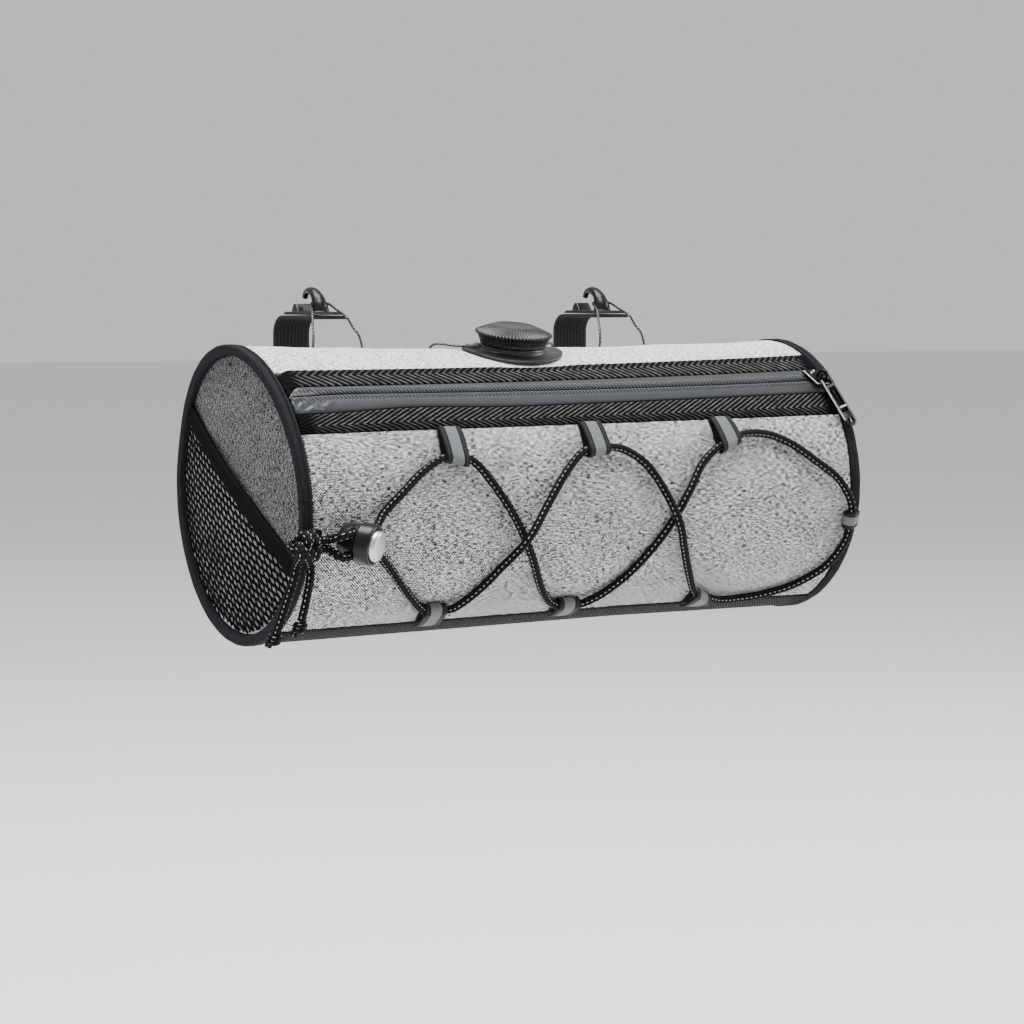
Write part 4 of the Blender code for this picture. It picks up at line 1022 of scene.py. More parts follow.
# %% [markdown]
# The pocket on the left end is a knitted net. Two families of strands cross at a low angle and pass over and under
# each other, which leaves small slanting holes where the panel, painted pale there as painted light, shows through.
# An image with holes in it could stand for the net, but here each strand is a flat tube of its own, so the holes are
# real from every side. An elastic band with fine ribs closes the net's slanting upper edge.

# %% The pocket's place, and tubes
POCKET_EDGE = 0.0058
POCKET_BULGE = 0.0007
BAND_WIDTH = 0.0075


def pocket_place(along, across, height):
    """A place on the left end: along the pocket's edge, and across it towards the bottom."""
    slope = math.radians(POCKET_SLOPE)
    along, across, height = np.broadcast_arrays(along, across, height)
    out = dome(np.hypot(along, across)) + height
    return askew(np.stack([-(BAG_LENGTH / 2 - BINDING_WIDTH + out),
                           AXIS_Y + along * math.cos(slope) + across * math.sin(slope),
                           AXIS_Z + along * math.sin(slope) - across * math.cos(slope)], -1))


def tube_grid(path, sizes, sides, up):
    """Rings of points round a path. sizes are its half widths across up and along it."""
    ahead = np.gradient(path, axis=0)
    ahead = ahead / np.linalg.norm(ahead, axis=1, keepdims=True)
    side = np.cross(ahead, up)
    side = side / np.linalg.norm(side, axis=1, keepdims=True)
    over = np.cross(side, ahead)
    turn = full_turn(sides)[None, :, None]
    sizes = np.broadcast_to(np.asarray(sizes, float), (len(path), 2))
    return (path[:, None] + over[:, None] * sizes[:, None, 1:] * np.cos(turn)
            + side[:, None] * sizes[:, None, :1] * np.sin(turn))


def tube_faces(rows, sides, offset):
    ends = [list(range(offset, offset + sides)), list(range(offset + (rows - 1) * sides, offset + rows * sides))]
    return [*quads(rows, sides, offset, wrap_columns=True).tolist(), *ends]


# %% [markdown]
# The strands are worked out as straight lines over the pocket and laid on the domed end panel. A cosine along each
# strand lifts it over one crossing and drops it under the next.

# %% Net
# One step of each family of strands, in millimetres along the pocket's edge and across it.
NET_FIRST = (3.81, 0.79)
NET_SECOND = (-2.83, 2.055)
NET_LINES = 40
STRAND_SIDES = 5
STRAND_WIDTH = 0.00140
STRAND_DEPTH = 0.00028


def net_strands():
    """Paths across the pocket: along, across, and the side on which they pass the first crossing."""
    first = BAND_WIDTH - POCKET_EDGE
    reach = END_RADIUS - 0.0004
    one, two = np.array(NET_FIRST) * MILLIMETRE, np.array(NET_SECOND) * MILLIMETRE
    cell = abs(one[0] * two[1] - one[1] * two[0])
    for way, sense in ((one, 1.0), (two, -1.0)):
        crossing = np.hypot(*way)
        t = np.arange(0.0, 5.0 * reach, crossing / 4)
        for k in range(-NET_LINES, NET_LINES + 1):
            line = np.array([k * cell / way[1], first]) + t[:, None] * way / crossing
            inside = np.hypot(line[:, 0], line[:, 1]) < reach
            if inside.sum() > 3:
                weave = sense * np.cos(np.pi * t / crossing + np.pi * k)
                yield line[inside], weave[inside]


def make_net():
    finish = Finish("net yarn", 0.85, Specular_IOR_Level=0.04)
    run, turned, _ = finish.weave()
    yarn = ((run / 0.0007 + turned * 0.5) * (2 * math.pi)).sin() * 0.5 + 0.5
    finish.feed(Base_Color=finish.ramp(yarn, ((0.1, grey(0.0006)), (0.9, grey(0.006)))))
    finish.bump(yarn, 0.0001)
    points, faces, weave = [], [], []
    total = 0
    for line, wave in net_strands():
        radius = np.hypot(line[:, 0], line[:, 1])
        bulge = POCKET_BULGE * np.maximum(0.0, 1.0 - (radius / END_RADIUS) ** 2)
        height = GAP + STRAND_DEPTH + bulge + 0.5 * STRAND_DEPTH * wave
        path = pocket_place(line[:, 0], line[:, 1], height)
        up = np.broadcast_to([-1.0, 0.0, 0.0], path.shape)
        rings = tube_grid(path, (STRAND_WIDTH / 2, STRAND_DEPTH / 2), STRAND_SIDES, up)
        run = np.linspace(0.0, 1.0, len(path))[:, None] * len(path) * 0.0009
        marks = np.stack(np.broadcast_arrays(run, np.cos(full_turn(STRAND_SIDES))[None, :], 0.0), -1)
        points.append(rings.reshape(-1, 3))
        weave.append(marks.reshape(-1, 3))
        faces += tube_faces(len(path), STRAND_SIDES, total)
        total += len(path) * STRAND_SIDES
    add_piece("pocket_net", np.concatenate(points), faces, "net", finish, np.concatenate(weave),
              nodes=["pocket_mesh"])
    print("net strands", len(points), "faces", len(faces))


make_net()

# %% [markdown]
# The band is a wall of its own that crosses the end panel as a chord. Its fine lengthwise ribs are raised in the
# mesh, and the material paints shade between them.

# %% Elastic band
BAND_THICKNESS = 0.0014
ELASTIC_PITCH = 0.00094
ELASTIC_RELIEF = 0.00013
ELASTIC_KNIT = 0.0012


def make_elastic():
    finish = Finish("elastic band", 0.85, Specular_IOR_Level=0.05)
    run, span, edge = finish.weave()
    rib = (span * (2 * math.pi / ELASTIC_PITCH)).sin() * 0.5 + 0.5
    knit = (run * (2 * math.pi / ELASTIC_KNIT)).sin() * 0.5 + 0.5
    height = rib * 0.75 + knit * 0.25
    # The ramp darkens the grooves between the ribs: painted shade.
    finish.feed(Base_Color=finish.ramp(height, ((0.40, grey(0.0008)), (0.98, (0.018, 0.019, 0.021)))))
    finish.bump(height, 0.0002)
    span = eased(0.0, BAND_WIDTH, 60)[:, None]
    across = span - POCKET_EDGE
    share = np.linspace(-1.0, 1.0, 120)[None, :]
    along = share * np.sqrt((END_RADIUS - GAP) ** 2 - across ** 2)
    bulge = 0.9 * POCKET_BULGE * np.maximum(0.0, 1.0 - (along / END_RADIUS) ** 2)
    edge = np.minimum(span, BAND_WIDTH - span) + 0.0 * share
    ribs = ELASTIC_RELIEF * np.sin(2 * np.pi * span / ELASTIC_PITCH) - edge_drop(edge)
    outer = pocket_place(along, across, GAP + bulge + BAND_THICKNESS + ribs)
    inner = pocket_place(along, across, GAP + bulge)
    weave = np.stack([along, span + 0.0 * share, edge], -1)
    closed_wall("pocket_elastic", outer, inner, weave, "webbing", finish, nodes=["pocket_band"])


make_elastic()
print("pocket done")

# %% [markdown]
# Seven short ribbons are folded round the cord and sewn down at their roots. Each is a strip that follows a side view
# of the fold, first under the cord, then round it and back over it. A reflective stripe is woven along its middle,
# with a dark line beside it and black edges.

# %% Ribbon weave
RIBBON_WIDTH = 0.0095
RIGHT_LOOP_WIDTH = 0.0064
STRIPE_SHARE = 0.25


def ribbon_finish(name, width):
    finish = Finish(name, 0.6, Specular_IOR_Level=0.15)
    run, across, _ = finish.weave()
    side = abs(across) / width
    weft = (run * (2 * math.pi / 0.00055)).sin() * 0.5 + 0.5
    yarn = finish.noise(finish.point(run / 0.0006, across / 0.0004), 1.0, 2.0)
    stripe = finish.smooth(side, STRIPE_SHARE + 0.012, STRIPE_SHARE - 0.012)
    rib = finish.smooth(abs(side - STRIPE_SHARE - 0.12), 0.075, 0.045)
    edge_tone = finish.ramp(weft * 0.4 + yarn * 0.6, ((0.3, grey(0.004)), (0.8, grey(0.030))))
    dark = finish.mix(rib, solid(grey(0.0015)), edge_tone)
    pale = finish.ramp(yarn, ((0.25, (0.090, 0.098, 0.102)), (0.75, (0.165, 0.178, 0.184))))
    finish.feed(Base_Color=finish.mix(stripe, dark, pale))
    finish.bump(weft * 0.5 + yarn * 0.3 + stripe * 0.4, 0.00015)
    return finish


# %% [markdown]
# A strip needs only the side view of its middle line, as in a Curve with a flat profile. The points are spread
# sideways and given a thickness here, because each ribbon also has to lie on the round bag.

# %% Strips and folds
RIBBON_THICKNESS = 0.0008
LOOP_CLEARANCE = 0.0002


def strip(name, line, to_world, thick, width, slot, finish, count=12, **more):
    """A strip of even thickness along a line of (s, h) places, spread sideways by to_world(s, h, v)."""
    line = np.asarray(line, float)
    ahead = np.gradient(line, axis=0)
    ahead = ahead / np.linalg.norm(ahead, axis=1, keepdims=True)
    turn = 0.35 * thick
    v = eased(-width / 2, width / 2, count, turn)[None, :]
    half = thick / 2 - edge_drop(width / 2 - np.abs(v), turn)
    s, h = line[:, :1], line[:, 1:]
    away_s, away_h = -ahead[:, 1:], ahead[:, :1]
    run = np.concatenate([[0.0], np.cumsum(np.linalg.norm(np.diff(line, axis=0), axis=1))])[:, None]
    weave = np.stack(np.broadcast_arrays(run, v, 0.0), -1)
    outer = to_world(s + away_s * half, h + away_h * half, v)
    inner = to_world(s - away_s * half, h - away_h * half, v)
    return closed_wall(name, outer, inner, weave, slot, finish, **more)


def fold_line(reach, root_low, root_high):
    """The middle line of a folded ribbon from its root under the cord, round it and back above it."""
    low = GAP + RIBBON_THICKNESS / 2
    radius = CORD_DIAMETER / 2 + LOOP_CLEARANCE + RIBBON_THICKNESS / 2
    turn = np.radians(np.linspace(-90.0, 90.0, 21))
    bend = np.stack([reach + radius * np.cos(turn), low + radius + radius * np.sin(turn)], -1)
    share = np.linspace(0.88, 0.0, 12)
    back = np.stack([reach * share, root_high + (low + 2 * radius - root_high) * share ** 0.8], -1)
    ahead = np.stack([np.linspace(0.0, 0.85, 7) * reach, np.linspace(root_low, low, 7)], -1)
    return np.concatenate([ahead, bend, back])


# %% [markdown]
# Six loops hold the cord on the front, three below the zip and three above the bottom strip. The cord pulls each
# a little aside, so every fold has its own lean and tilt.

# %% Front loops
LOOP_SPACING = 0.0605
# Each loop: its place in spacings from the middle, how far its fold leans aside in ribbon widths, the angle of the
# fold on the bag and the tilt of the fold in degrees.
TOP_LOOPS = ((-1.02, -0.04, 14.0, -12.0), (0.00, 0.02, 15.6, 5.0), (0.99, 0.12, 16.6, 20.0))
BOTTOM_LOOPS = ((-0.98, -0.28, -48.6, 0.0), (0.00, -0.22, -50.8, 0.0), (1.02, -0.08, -51.6, -29.0))


def loop_root(x):
    return ZIP_EDGES[4] + strip_lift(x) - GAP


def make_front_loops(finish):
    low = GAP + RIBBON_THICKNESS / 2
    high = low + RIBBON_THICKNESS + GAP
    for label, table, sense in (("top", TOP_LOOPS, 1.0), ("bottom", BOTTOM_LOOPS, -1.0)):
        for k, (share, lean, fold, tilt) in enumerate(table):
            x0 = share * LOOP_SPACING
            root = zip_line(loop_root)(x0) if sense > 0 else TRIM_START + wide(GAP)
            reach = abs(math.radians(root - fold)) * BAG_RADIUS
            slope = math.tan(math.radians(tilt))

            def to_world(s, h, v, x0=x0, root=root, reach=reach, slope=slope, lean=lean, sense=sense):
                part = np.clip(s / reach, 0.0, 1.0)
                x = x0 + v + lean * RIBBON_WIDTH * part
                return on_bag(x, root - sense * wide(s) + wide(slope * v) * part, h)

            strip(f"ribbon_{label}_{k + 1}", fold_line(reach, low, high), to_world, RIBBON_THICKNESS,
                  RIBBON_WIDTH, "ribbon", finish, nodes=[f"loop_{label}_{k + 1}"])


make_front_loops(ribbon_finish("ribbon", RIBBON_WIDTH))
print("front loops", len(TOP_LOOPS) + len(BOTTOM_LOOPS))

# %% [markdown]
# The seventh loop is narrower, starts in the seam of the right binding and folds back over the binding.

# %% Right loop
RIGHT_LOOP_ANGLE = -16.0
RIGHT_LOOP_REACH = 0.0082


def make_right_loop(finish):
    """The small loop at the right end, which starts on the binding and folds back over it."""
    low = GAP + RIBBON_THICKNESS / 2
    radius = CORD_DIAMETER / 2 + LOOP_CLEARANCE + RIBBON_THICKNESS / 2
    middle = RIGHT_LOOP_REACH - BINDING_WIDTH - radius
    over = BINDING_PROUD + GAP + RIBBON_THICKNESS / 2
    turn = np.radians(np.linspace(-90.0, 90.0, 17))
    bend = np.stack([middle + radius * np.cos(turn), low + radius + radius * np.sin(turn)], -1)
    ends = [(middle * 0.3, low + 1.9 * radius), (-BINDING_WIDTH * 0.4, over + radius * 0.8),
            (-BINDING_WIDTH * 0.85, over + GAP)]
    line = np.concatenate([[(GAP, low)], bend, ends])
    line = smooth_line(np.column_stack([line, np.zeros(len(line))]), 0.0003)[:, :2]

    def to_world(s, h, v):
        return on_bag(WALL_END - s, RIGHT_LOOP_ANGLE + wide(v), h)

    strip("ribbon_right", line, to_world, RIBBON_THICKNESS, RIGHT_LOOP_WIDTH, "ribbon", finish,
          nodes=["loop_right"])


make_right_loop(ribbon_finish("narrow ribbon", RIGHT_LOOP_WIDTH))
print("ribbon loops done")

# %% [markdown]
# The cord is a black braid with pale reflective flecks in four rows round it. Its mesh is a tube that follows the
# route through the toggle, all seven ribbons and back, so a place on it is the metres along it and the turn round it.
# The knot is the same cord wound twice round the two strands, with a bow across its end. The tails hang from the
# knot, and each ends in a small knot. An image of a braid could be laid round the tube, but a pattern of two crossing
# sines needs none and stays sharp.

# %% The cord's braid
FLECK_PITCH = 0.0021
FLECK_DUTY = 0.36
BRAID_PITCH = 0.0024


def cord_finish():
    finish = Finish("braided cord", 0.75, Specular_IOR_Level=0.08)
    run, c, s = finish.weave()
    around = finish.math("ARCTAN2", s, c) / (2 * math.pi)
    lean = ((run / BRAID_PITCH + around * 4.0) * (2 * math.pi)).sin()
    other = ((run / BRAID_PITCH - around * 4.0) * (2 * math.pi)).sin()
    braid = lean * other * 0.5 + 0.5
    row = finish.smooth(abs(c * s) * 2.0, 0.92, 0.98)
    shift = (c * s > 0.0) * 0.5
    dash = finish.smooth(abs((run / FLECK_PITCH + shift).fraction() - 0.5), FLECK_DUTY / 2 + 0.03,
                         FLECK_DUTY / 2 - 0.03)
    yarn = finish.noise(finish.point(run / 0.0007, around * 9.0), 1.0, 2.0)
    fleck = row * dash * finish.smooth(yarn, 0.25, 0.42)
    black = finish.ramp(braid * 0.6 + yarn * 0.4, ((0.25, grey(0.0008)), (0.95, (0.016, 0.017, 0.019))))
    finish.feed(Base_Color=finish.mix(fleck, black, solid((0.40, 0.42, 0.44))))
    finish.bump(braid + yarn * 0.3, 0.0003)
    return finish


CORD_FINISH = cord_finish()


# %% [markdown]
# A Curve with a bevel depth would give the same tube, but no place along it for the flecks. The tube is built from
# rings, and its weave holds the metres along it and the turn round it.

# %% Round cords
CORD_SIDES = 16
CORD_STEP = 0.0008


def round_cord(name, path, diameter, slot, finish, up, sides=CORD_SIDES, **more):
    """A tube along a path. The turn round it starts at the side that up points to."""
    up = np.broadcast_to(np.asarray(up, float), path.shape)
    rings = tube_grid(path, (diameter / 2, diameter / 2), sides, up)
    run = np.concatenate([[0.0], np.cumsum(np.linalg.norm(np.diff(path, axis=0), axis=1))])[:, None]
    turn = full_turn(sides)[None, :]
    weave = np.stack(np.broadcast_arrays(run, np.cos(turn), np.sin(turn)), -1)
    return add_piece(name, rings, tube_faces(len(path), sides, 0), slot, finish, weave, **more)


def off_axis(path):
    """The way out of the bag at each point of a path."""
    out = path - np.array([0.0, AXIS_Y, AXIS_Z])
    out[:, 0] = 0.0
    return out / np.linalg.norm(out, axis=1, keepdims=True)


def unit(vector):
    return np.asarray(vector, float) / np.linalg.norm(vector)


def lock_frame():
    """The toggle's middle, its own axis, the way its holes run and the way its two holes are apart."""
    out, right = outward(LOCK_ANGLE), np.array([1.0, 0.0, 0.0])
    turn, across = math.radians(LOCK_TURN), math.radians(LOCK_HOLE_TURN)
    axis = out * math.cos(turn) + right * math.sin(turn)
    holes = right * math.cos(across) - out * math.sin(across)
    return on_barrel(LOCK_X, LOCK_ANGLE, LOCK_HEIGHT), axis, holes, -downhill(LOCK_ANGLE)


def wound(middle, along, side, start, pitch, wraps, radius, count=28):
    """Points of a coil about an axis."""
    over = np.cross(along, side)
    turn = np.linspace(0.0, 2 * np.pi * wraps, round(count * wraps))[:, None]
    return (middle + along * (start + pitch * turn / (2 * np.pi))
            + radius * (side * np.cos(turn) + over * np.sin(turn)))


LOCK_MIDDLE, LOCK_AXIS, LOCK_HOLES, LOCK_APART = lock_frame()
KNOT_MIDDLE = on_barrel(KNOT_X, KNOT_ANGLE, KNOT_HEIGHT)
KNOT_WAY = unit(KNOT_MIDDLE - LOCK_MIDDLE)


# %% [markdown]
# The cord starts in the knot, passes one hole of the toggle, crosses the front, and comes back through the other
# hole. It is one tube from end to end.

# %% Laced cord
def make_shock_cord():
    reach = LOCK_RADIUS + CORD_DIAMETER / 2

    def strand(side):
        offset = LOCK_APART * LOCK_HOLE_OFFSET * side
        near = KNOT_MIDDLE - KNOT_WAY * KNOT_RADIUS + offset * 0.42
        return [near + KNOT_WAY * 0.0025, near - KNOT_WAY * CORD_DIAMETER * 0.8,
                LOCK_MIDDLE + offset - LOCK_HOLES * reach, LOCK_MIDDLE + offset,
                LOCK_MIDDLE + offset + LOCK_HOLES * reach]

    route = np.array([*strand(1.0), *LACED, *reversed(strand(-1.0))])
    path = smooth_line(route, CORD_STEP)
    round_cord("laced_cord", path, CORD_DIAMETER, "cord", CORD_FINISH, off_axis(path), nodes=["shock_cord"])
    print("laced cord", round(length_of(path), 3), "m")


make_shock_cord()

# %% [markdown]
# The knot is a coil of two wraps that runs on into a bow. Both are formulas about the knot's own axis, from the
# toggle to the knot.

# %% Knot
KNOT_WRAPS = 2
KNOT_START = 0.0056
KNOT_COIL = 0.0044
KNOT_PITCH = 0.0029
BOW_SHIFT = 0.0020
BOW_SIZE = 0.0036
BOW_SHAPE = (0.95, 0.62)
BOW_LIFT = 0.0016


def make_knot():
    side = unit(np.cross(KNOT_WAY, outward(KNOT_ANGLE)))
    wraps = wound(KNOT_MIDDLE, KNOT_WAY, side, -KNOT_START, KNOT_PITCH, KNOT_WRAPS, KNOT_COIL)
    over = np.cross(KNOT_WAY, side)
    bow_middle = KNOT_MIDDLE + KNOT_WAY * BOW_SHIFT
    turn = np.linspace(0.5, 1.9 * np.pi, 40)[:, None]
    lean = unit(side * 0.35 + over * 0.94)
    bow = bow_middle + BOW_SIZE * (lean * np.cos(turn) * BOW_SHAPE[0] + KNOT_WAY * np.sin(turn) * BOW_SHAPE[1])
    bow = bow - np.cross(lean, KNOT_WAY) * BOW_LIFT * np.cos(turn * 0.5)
    route = smooth_line(np.concatenate([wraps, bow]), 0.0006)
    aslant = unit(side + 0.31 * over + 0.17 * KNOT_WAY)
    round_cord("cord_wraps", route, CORD_DIAMETER, "cord", CORD_FINISH, aslant, nodes=["cord_knot"])


make_knot()
print("knot with", KNOT_WRAPS, "wraps done")

# %% [markdown]
# Two free ends hang from the knot under their own weight. The left one swings out a little further, because the
# cord keeps some of its curl.

# %% Tails
TAIL_LEFT = ((-0.0024, 0.0005, -0.0063), (-0.0031, 0.0014, -0.0112), (-0.0040, 0.0030, -0.0164),
             (-0.0049, 0.0051, -0.0218), (-0.0057, 0.0071, -0.0270), (-0.0065, 0.0092, -0.0320))
TAIL_RIGHT = ((0.0022, -0.0005, -0.0063), (0.0024, -0.0007, -0.0106), (0.0020, -0.0001, -0.0148),
              (0.0015, 0.0008, -0.0190), (0.0010, 0.0017, -0.0232), (0.0004, 0.0028, -0.0273))
TAIL_ROOT = ((-0.0042, -0.0030, 0.0012), (-0.0026, -0.0048, -0.0020))
END_KNOT_COIL = 0.0013
END_KNOT_SHARE = 0.84


def make_tail(label, table, other):
    """One tail from inside the knot to its end, and the small knot there."""
    shift = np.array([0.3 * table[0][0], 0.0, 0.0])
    route = np.array([*[KNOT_MIDDLE + shift + np.array(p) for p in TAIL_ROOT],
                      *[KNOT_MIDDLE + np.array(p) for p in table]])
    path = smooth_line(route, CORD_STEP)
    drop = unit(path[-1] - path[-3])
    side = unit(np.cross(drop, [0.0, 1.0, 0.1]))
    knot = wound(path[-1] + drop * 0.0016, drop, side, -0.0006, 0.0016, 1.6, END_KNOT_COIL, 22)
    tip = knot[-1] + drop * np.array([[0.0010], [0.0024]])
    knot = smooth_line(np.concatenate([path[-1:] - drop * 0.001, knot, tip]), 0.0005)
    end = round_cord("tail_knot_" + label, knot, CORD_DIAMETER * END_KNOT_SHARE, "cord", CORD_FINISH,
                     unit(drop + 0.2 * side), nodes=["tail_end_" + label])
    tail = round_cord("tail_" + label, path, CORD_DIAMETER, "cord", CORD_FINISH, outward(KNOT_ANGLE + other),
                      nodes=["cord_tail_" + label])
    print("tail", label, round(length_of(path), 4), "m")


make_tail("left", TAIL_LEFT, 12.0)
make_tail("right", TAIL_RIGHT, -8.0)

# %% [markdown]
# The toggle is a turned barrel of gloss plastic with two drilled holes for the cord. Its shape is one profile turned
# about its axis, its edges are softened by a Bevel modifier, and Boolean modifiers drill the holes. The button is a
# brushed metal disc that moves on its own body.

# %% Turned shapes and modifiers
def about(middle, axis, zero):
    """Places radius, turn and height about any axis."""
    side = unit(np.cross(axis, zero))

    def at(radius, turn, height):
        radius, turn, height = [np.asarray(v)[..., None] for v in np.broadcast_arrays(radius, turn, height)]
        return middle + axis * height + radius * (zero * np.cos(turn) + side * np.sin(turn))
    return at


def turned_mesh(profile, count, at, change=None):
    """Points and faces of a profile turned about an axis. Its first and last points lie near the axis."""
    profile = np.asarray(profile, float)
    turn = full_turn(count)[None, :]
    radius = profile[:, :1] + 0.0 * turn
    height = profile[:, 1:] + 0.0 * turn
    if change:
        radius, height = change(radius, height, turn)
    rows = len(profile)
    faces = quads(rows, count, wrap_columns=True).tolist()
    faces += [list(range(count)), list(range((rows - 1) * count, rows * count))]
    return at(radius, turn, height), faces


def bevel(width, angle=30.0):
    """A Bevel step as modifier settings."""
    return "soft edges", "BEVEL", {"width": width, "segments": 3, "limit_method": "ANGLE",
                                   "angle_limit": math.radians(angle), "harden_normals": False}


def reshape(made, steps):
    """Runs modifiers on a piece's mesh and keeps the result."""
    for name, kind, settings in steps:
        step = made.modifiers.new(name, kind)
        for key, value in settings.items():
            setattr(step, key, value)
    graph = bpy.context.evaluated_depsgraph_get()
    graph.update()
    mesh = bpy.data.meshes.new_from_object(made.evaluated_get(graph))
    made.modifiers.clear()
    made.data = mesh
    mesh.shade_smooth()
    mesh.set_sharp_from_angle(angle=math.radians(35.0))


# %% [markdown]
# Moulded plastic is one dark tone with a fine grain, and fingers leave faint smudges that change its shine. Brushed
# metal is noise drawn out far along one direction.

# %% Plastic and brushed metal
def moulded(name, tone, roughness, grain=0.0004, depth=0.00004, shine=0.25):
    """Moulded plastic: one dark tone with a fine grain and slight smudges."""
    finish = Finish(name, roughness, Specular_IOR_Level=shine)
    place = finish.place()
    fine = finish.noise(place, 1.0 / grain, 2.0)
    smudge = finish.noise(place, 160.0, 3.0)
    finish.feed(Base_Color=finish.ramp(smudge, ((0.3, grey(tone * 0.7)), (0.7, grey(tone * 1.4)))),
                Roughness=smudge * 0.25 + (roughness - 0.1) + fine * 0.04)
    finish.bump(fine, depth)
    return finish


def brushed(name, tones, roughness, scale=(0.00005, 0.003)):
    """Metal brushed one way, read from the piece's weave."""
    finish = Finish(name, roughness, 1.0)
    run, across, _ = finish.weave()
    lines = finish.noise(finish.point(run / scale[0], across / scale[1]), 1.0, 3.0)
    finish.feed(Base_Color=finish.ramp(lines, ((0.3, tones[0]), (0.7, tones[1]))),
                Roughness=lines * 0.18 + (roughness - 0.08))
    finish.bump(lines, 0.00003)
    return finish


# %% [markdown]
# The body is turned with a well for the button, and its two holes are drilled with Boolean modifiers after the
# edges are softened. The button's own disc rides on the body that slides.

# %% Toggle
LOCK_TAIL_RADIUS = 0.0062
LOCK_LENGTH = 0.0135
LOCK_HOLE_CLEARANCE = 0.0004
LOCK_RIM = 0.0055
LOCK_STEP = 0.0006
LOCK_END_ROUND = 0.0014
BUTTON_RADIUS = 0.0058
BUTTON_PROUD = 0.0022
BUTTON_PRESS = 0.0018
BUTTON_SEAT = 0.0010
LOCK_SIDES = 72


def make_toggle():
    at = about(LOCK_MIDDLE, LOCK_AXIS, LOCK_APART)
    half, well = LOCK_LENGTH / 2, BUTTON_RADIUS + GAP
    floor = half - BUTTON_PRESS - 2 * BUTTON_SEAT
    profile = ((0.0003, floor), (well, floor), (well, half - LOCK_STEP), (well + LOCK_STEP / 2, half),
               (LOCK_RADIUS - LOCK_STEP, half), (LOCK_RADIUS, half - LOCK_STEP), (LOCK_RADIUS, half - LOCK_RIM),
               (LOCK_RADIUS - LOCK_STEP, half - LOCK_RIM - LOCK_STEP), (LOCK_TAIL_RADIUS, LOCK_END_ROUND - half),
               (LOCK_TAIL_RADIUS - LOCK_END_ROUND * 0.3, LOCK_END_ROUND * 0.4 - half),
               (LOCK_TAIL_RADIUS - LOCK_END_ROUND, -half), (0.0003, -half))
    points, faces = turned_mesh(profile, LOCK_SIDES, at)
    gloss = moulded("gloss plastic", 0.004, 0.26, depth=0.000008, shine=0.25)
    body = add_piece("toggle_body", points, faces, "gloss_plastic", gloss, nodes=["cord_lock_body"])
    drills = []
    for side in (1.0, -1.0):
        middle = LOCK_MIDDLE + LOCK_APART * LOCK_HOLE_OFFSET * side
        radius = CORD_DIAMETER / 2 + LOCK_HOLE_CLEARANCE
        reach = LOCK_LENGTH + LOCK_RADIUS
        points, faces = turned_mesh(((0.0001, reach), (radius, reach), (radius, -reach), (0.0001, -reach)), 24,
                                    about(middle, LOCK_HOLES, LOCK_APART))
        drills.append(new_object("drill", points, faces))
    steps = [bevel(0.00025)]
    steps += [(f"hole {k}", "BOOLEAN", {"operation": "DIFFERENCE", "object": drill})
              for k, drill in enumerate(drills)]
    reshape(body, steps)
    for drill in drills:
        bpy.data.objects.remove(drill)
    top, bottom = half + BUTTON_PROUD, floor + BUTTON_PRESS + GAP
    cap = ((0.0002, top), (BUTTON_RADIUS * 0.5, top - GAP * 0.3), (BUTTON_RADIUS - BUTTON_SEAT, top - GAP),
           (BUTTON_RADIUS - BUTTON_SEAT * 0.3, top - GAP - BUTTON_SEAT * 0.3),
           (BUTTON_RADIUS, top - BUTTON_SEAT * 1.3), (BUTTON_RADIUS, bottom), (0.0002, bottom))
    points, faces = turned_mesh(cap, LOCK_SIDES, at)
    flat = (points - LOCK_MIDDLE).reshape(-1, 3)
    weave = np.stack([flat @ np.cross(LOCK_AXIS, LOCK_APART), flat @ LOCK_APART, flat @ LOCK_AXIS], -1)
    add_piece("toggle_button", points, faces, "metal", brushed("button metal", (grey(0.42), grey(0.75)), 0.3),
              weave, nodes=["cord_lock_button"], body="button")
    return gloss


GLOSS = make_toggle()
print("toggle done")

# %% [markdown]
# The dial has three forms: an oval saddle that lies on the cloth, a collar on it, and the cap that turns. All are
# profiles turned about the dial's axis. The saddle's rim is laid on the cloth by blending two places for every point,
# and the cap's teeth are cut by making its radius a wave of the turn. Booleans could cut the teeth too, but a wave
# keeps the mesh even and the ribs soft.

# %% Sizes and forms of the dial
FLANGE_RADIUS = 0.0209
FLANGE_THICKNESS = 0.0013
FLANGE_OVAL = 0.80
FLANGE_SIDES = 120
COLLAR_RADIUS = 0.0118
COLLAR_HEIGHT = 0.0048
CAP_RADIUS = 0.0152
CAP_HEIGHT = 0.0074
CAP_CONE = 0.0026
CAP_TOP = 0.0084
CAP_TEETH = 66
CAP_TOOTH = 0.00075
CAP_SIDES = 8 * CAP_TEETH
LIP_WIDTH = 0.0022
LACE_DIAMETER = 0.001

DIAL_MIDDLE, DIAL_AXIS, DIAL_FRONT = on_barrel(DIAL_X, DIAL_ANGLE), outward(DIAL_ANGLE), downhill(DIAL_ANGLE)
RIGHT = np.array([1.0, 0.0, 0.0])


def rounded(profile, spacing=0.0003):
    """A smooth profile through a few (radius, height) places."""
    return smooth_line(np.column_stack([profile, np.zeros(len(profile))]), spacing)[:, :2]


def saddle(radius, turn, height):
    """Lies on the cloth near the flange's rim and turns into a flat round collar further in."""
    share = np.clip((radius - COLLAR_RADIUS) / (FLANGE_RADIUS - COLLAR_RADIUS), 0.0, 1.0)
    share = np.where(height < FLANGE_THICKNESS, 1.0, share)[..., None]
    x, angle = DIAL_X + radius * np.cos(turn), DIAL_ANGLE + wide(FLANGE_OVAL * radius * np.sin(turn))
    flat = about(DIAL_MIDDLE, DIAL_AXIS, RIGHT)(radius, turn, height)
    return flat + (on_bag(x, angle, height) - flat) * share


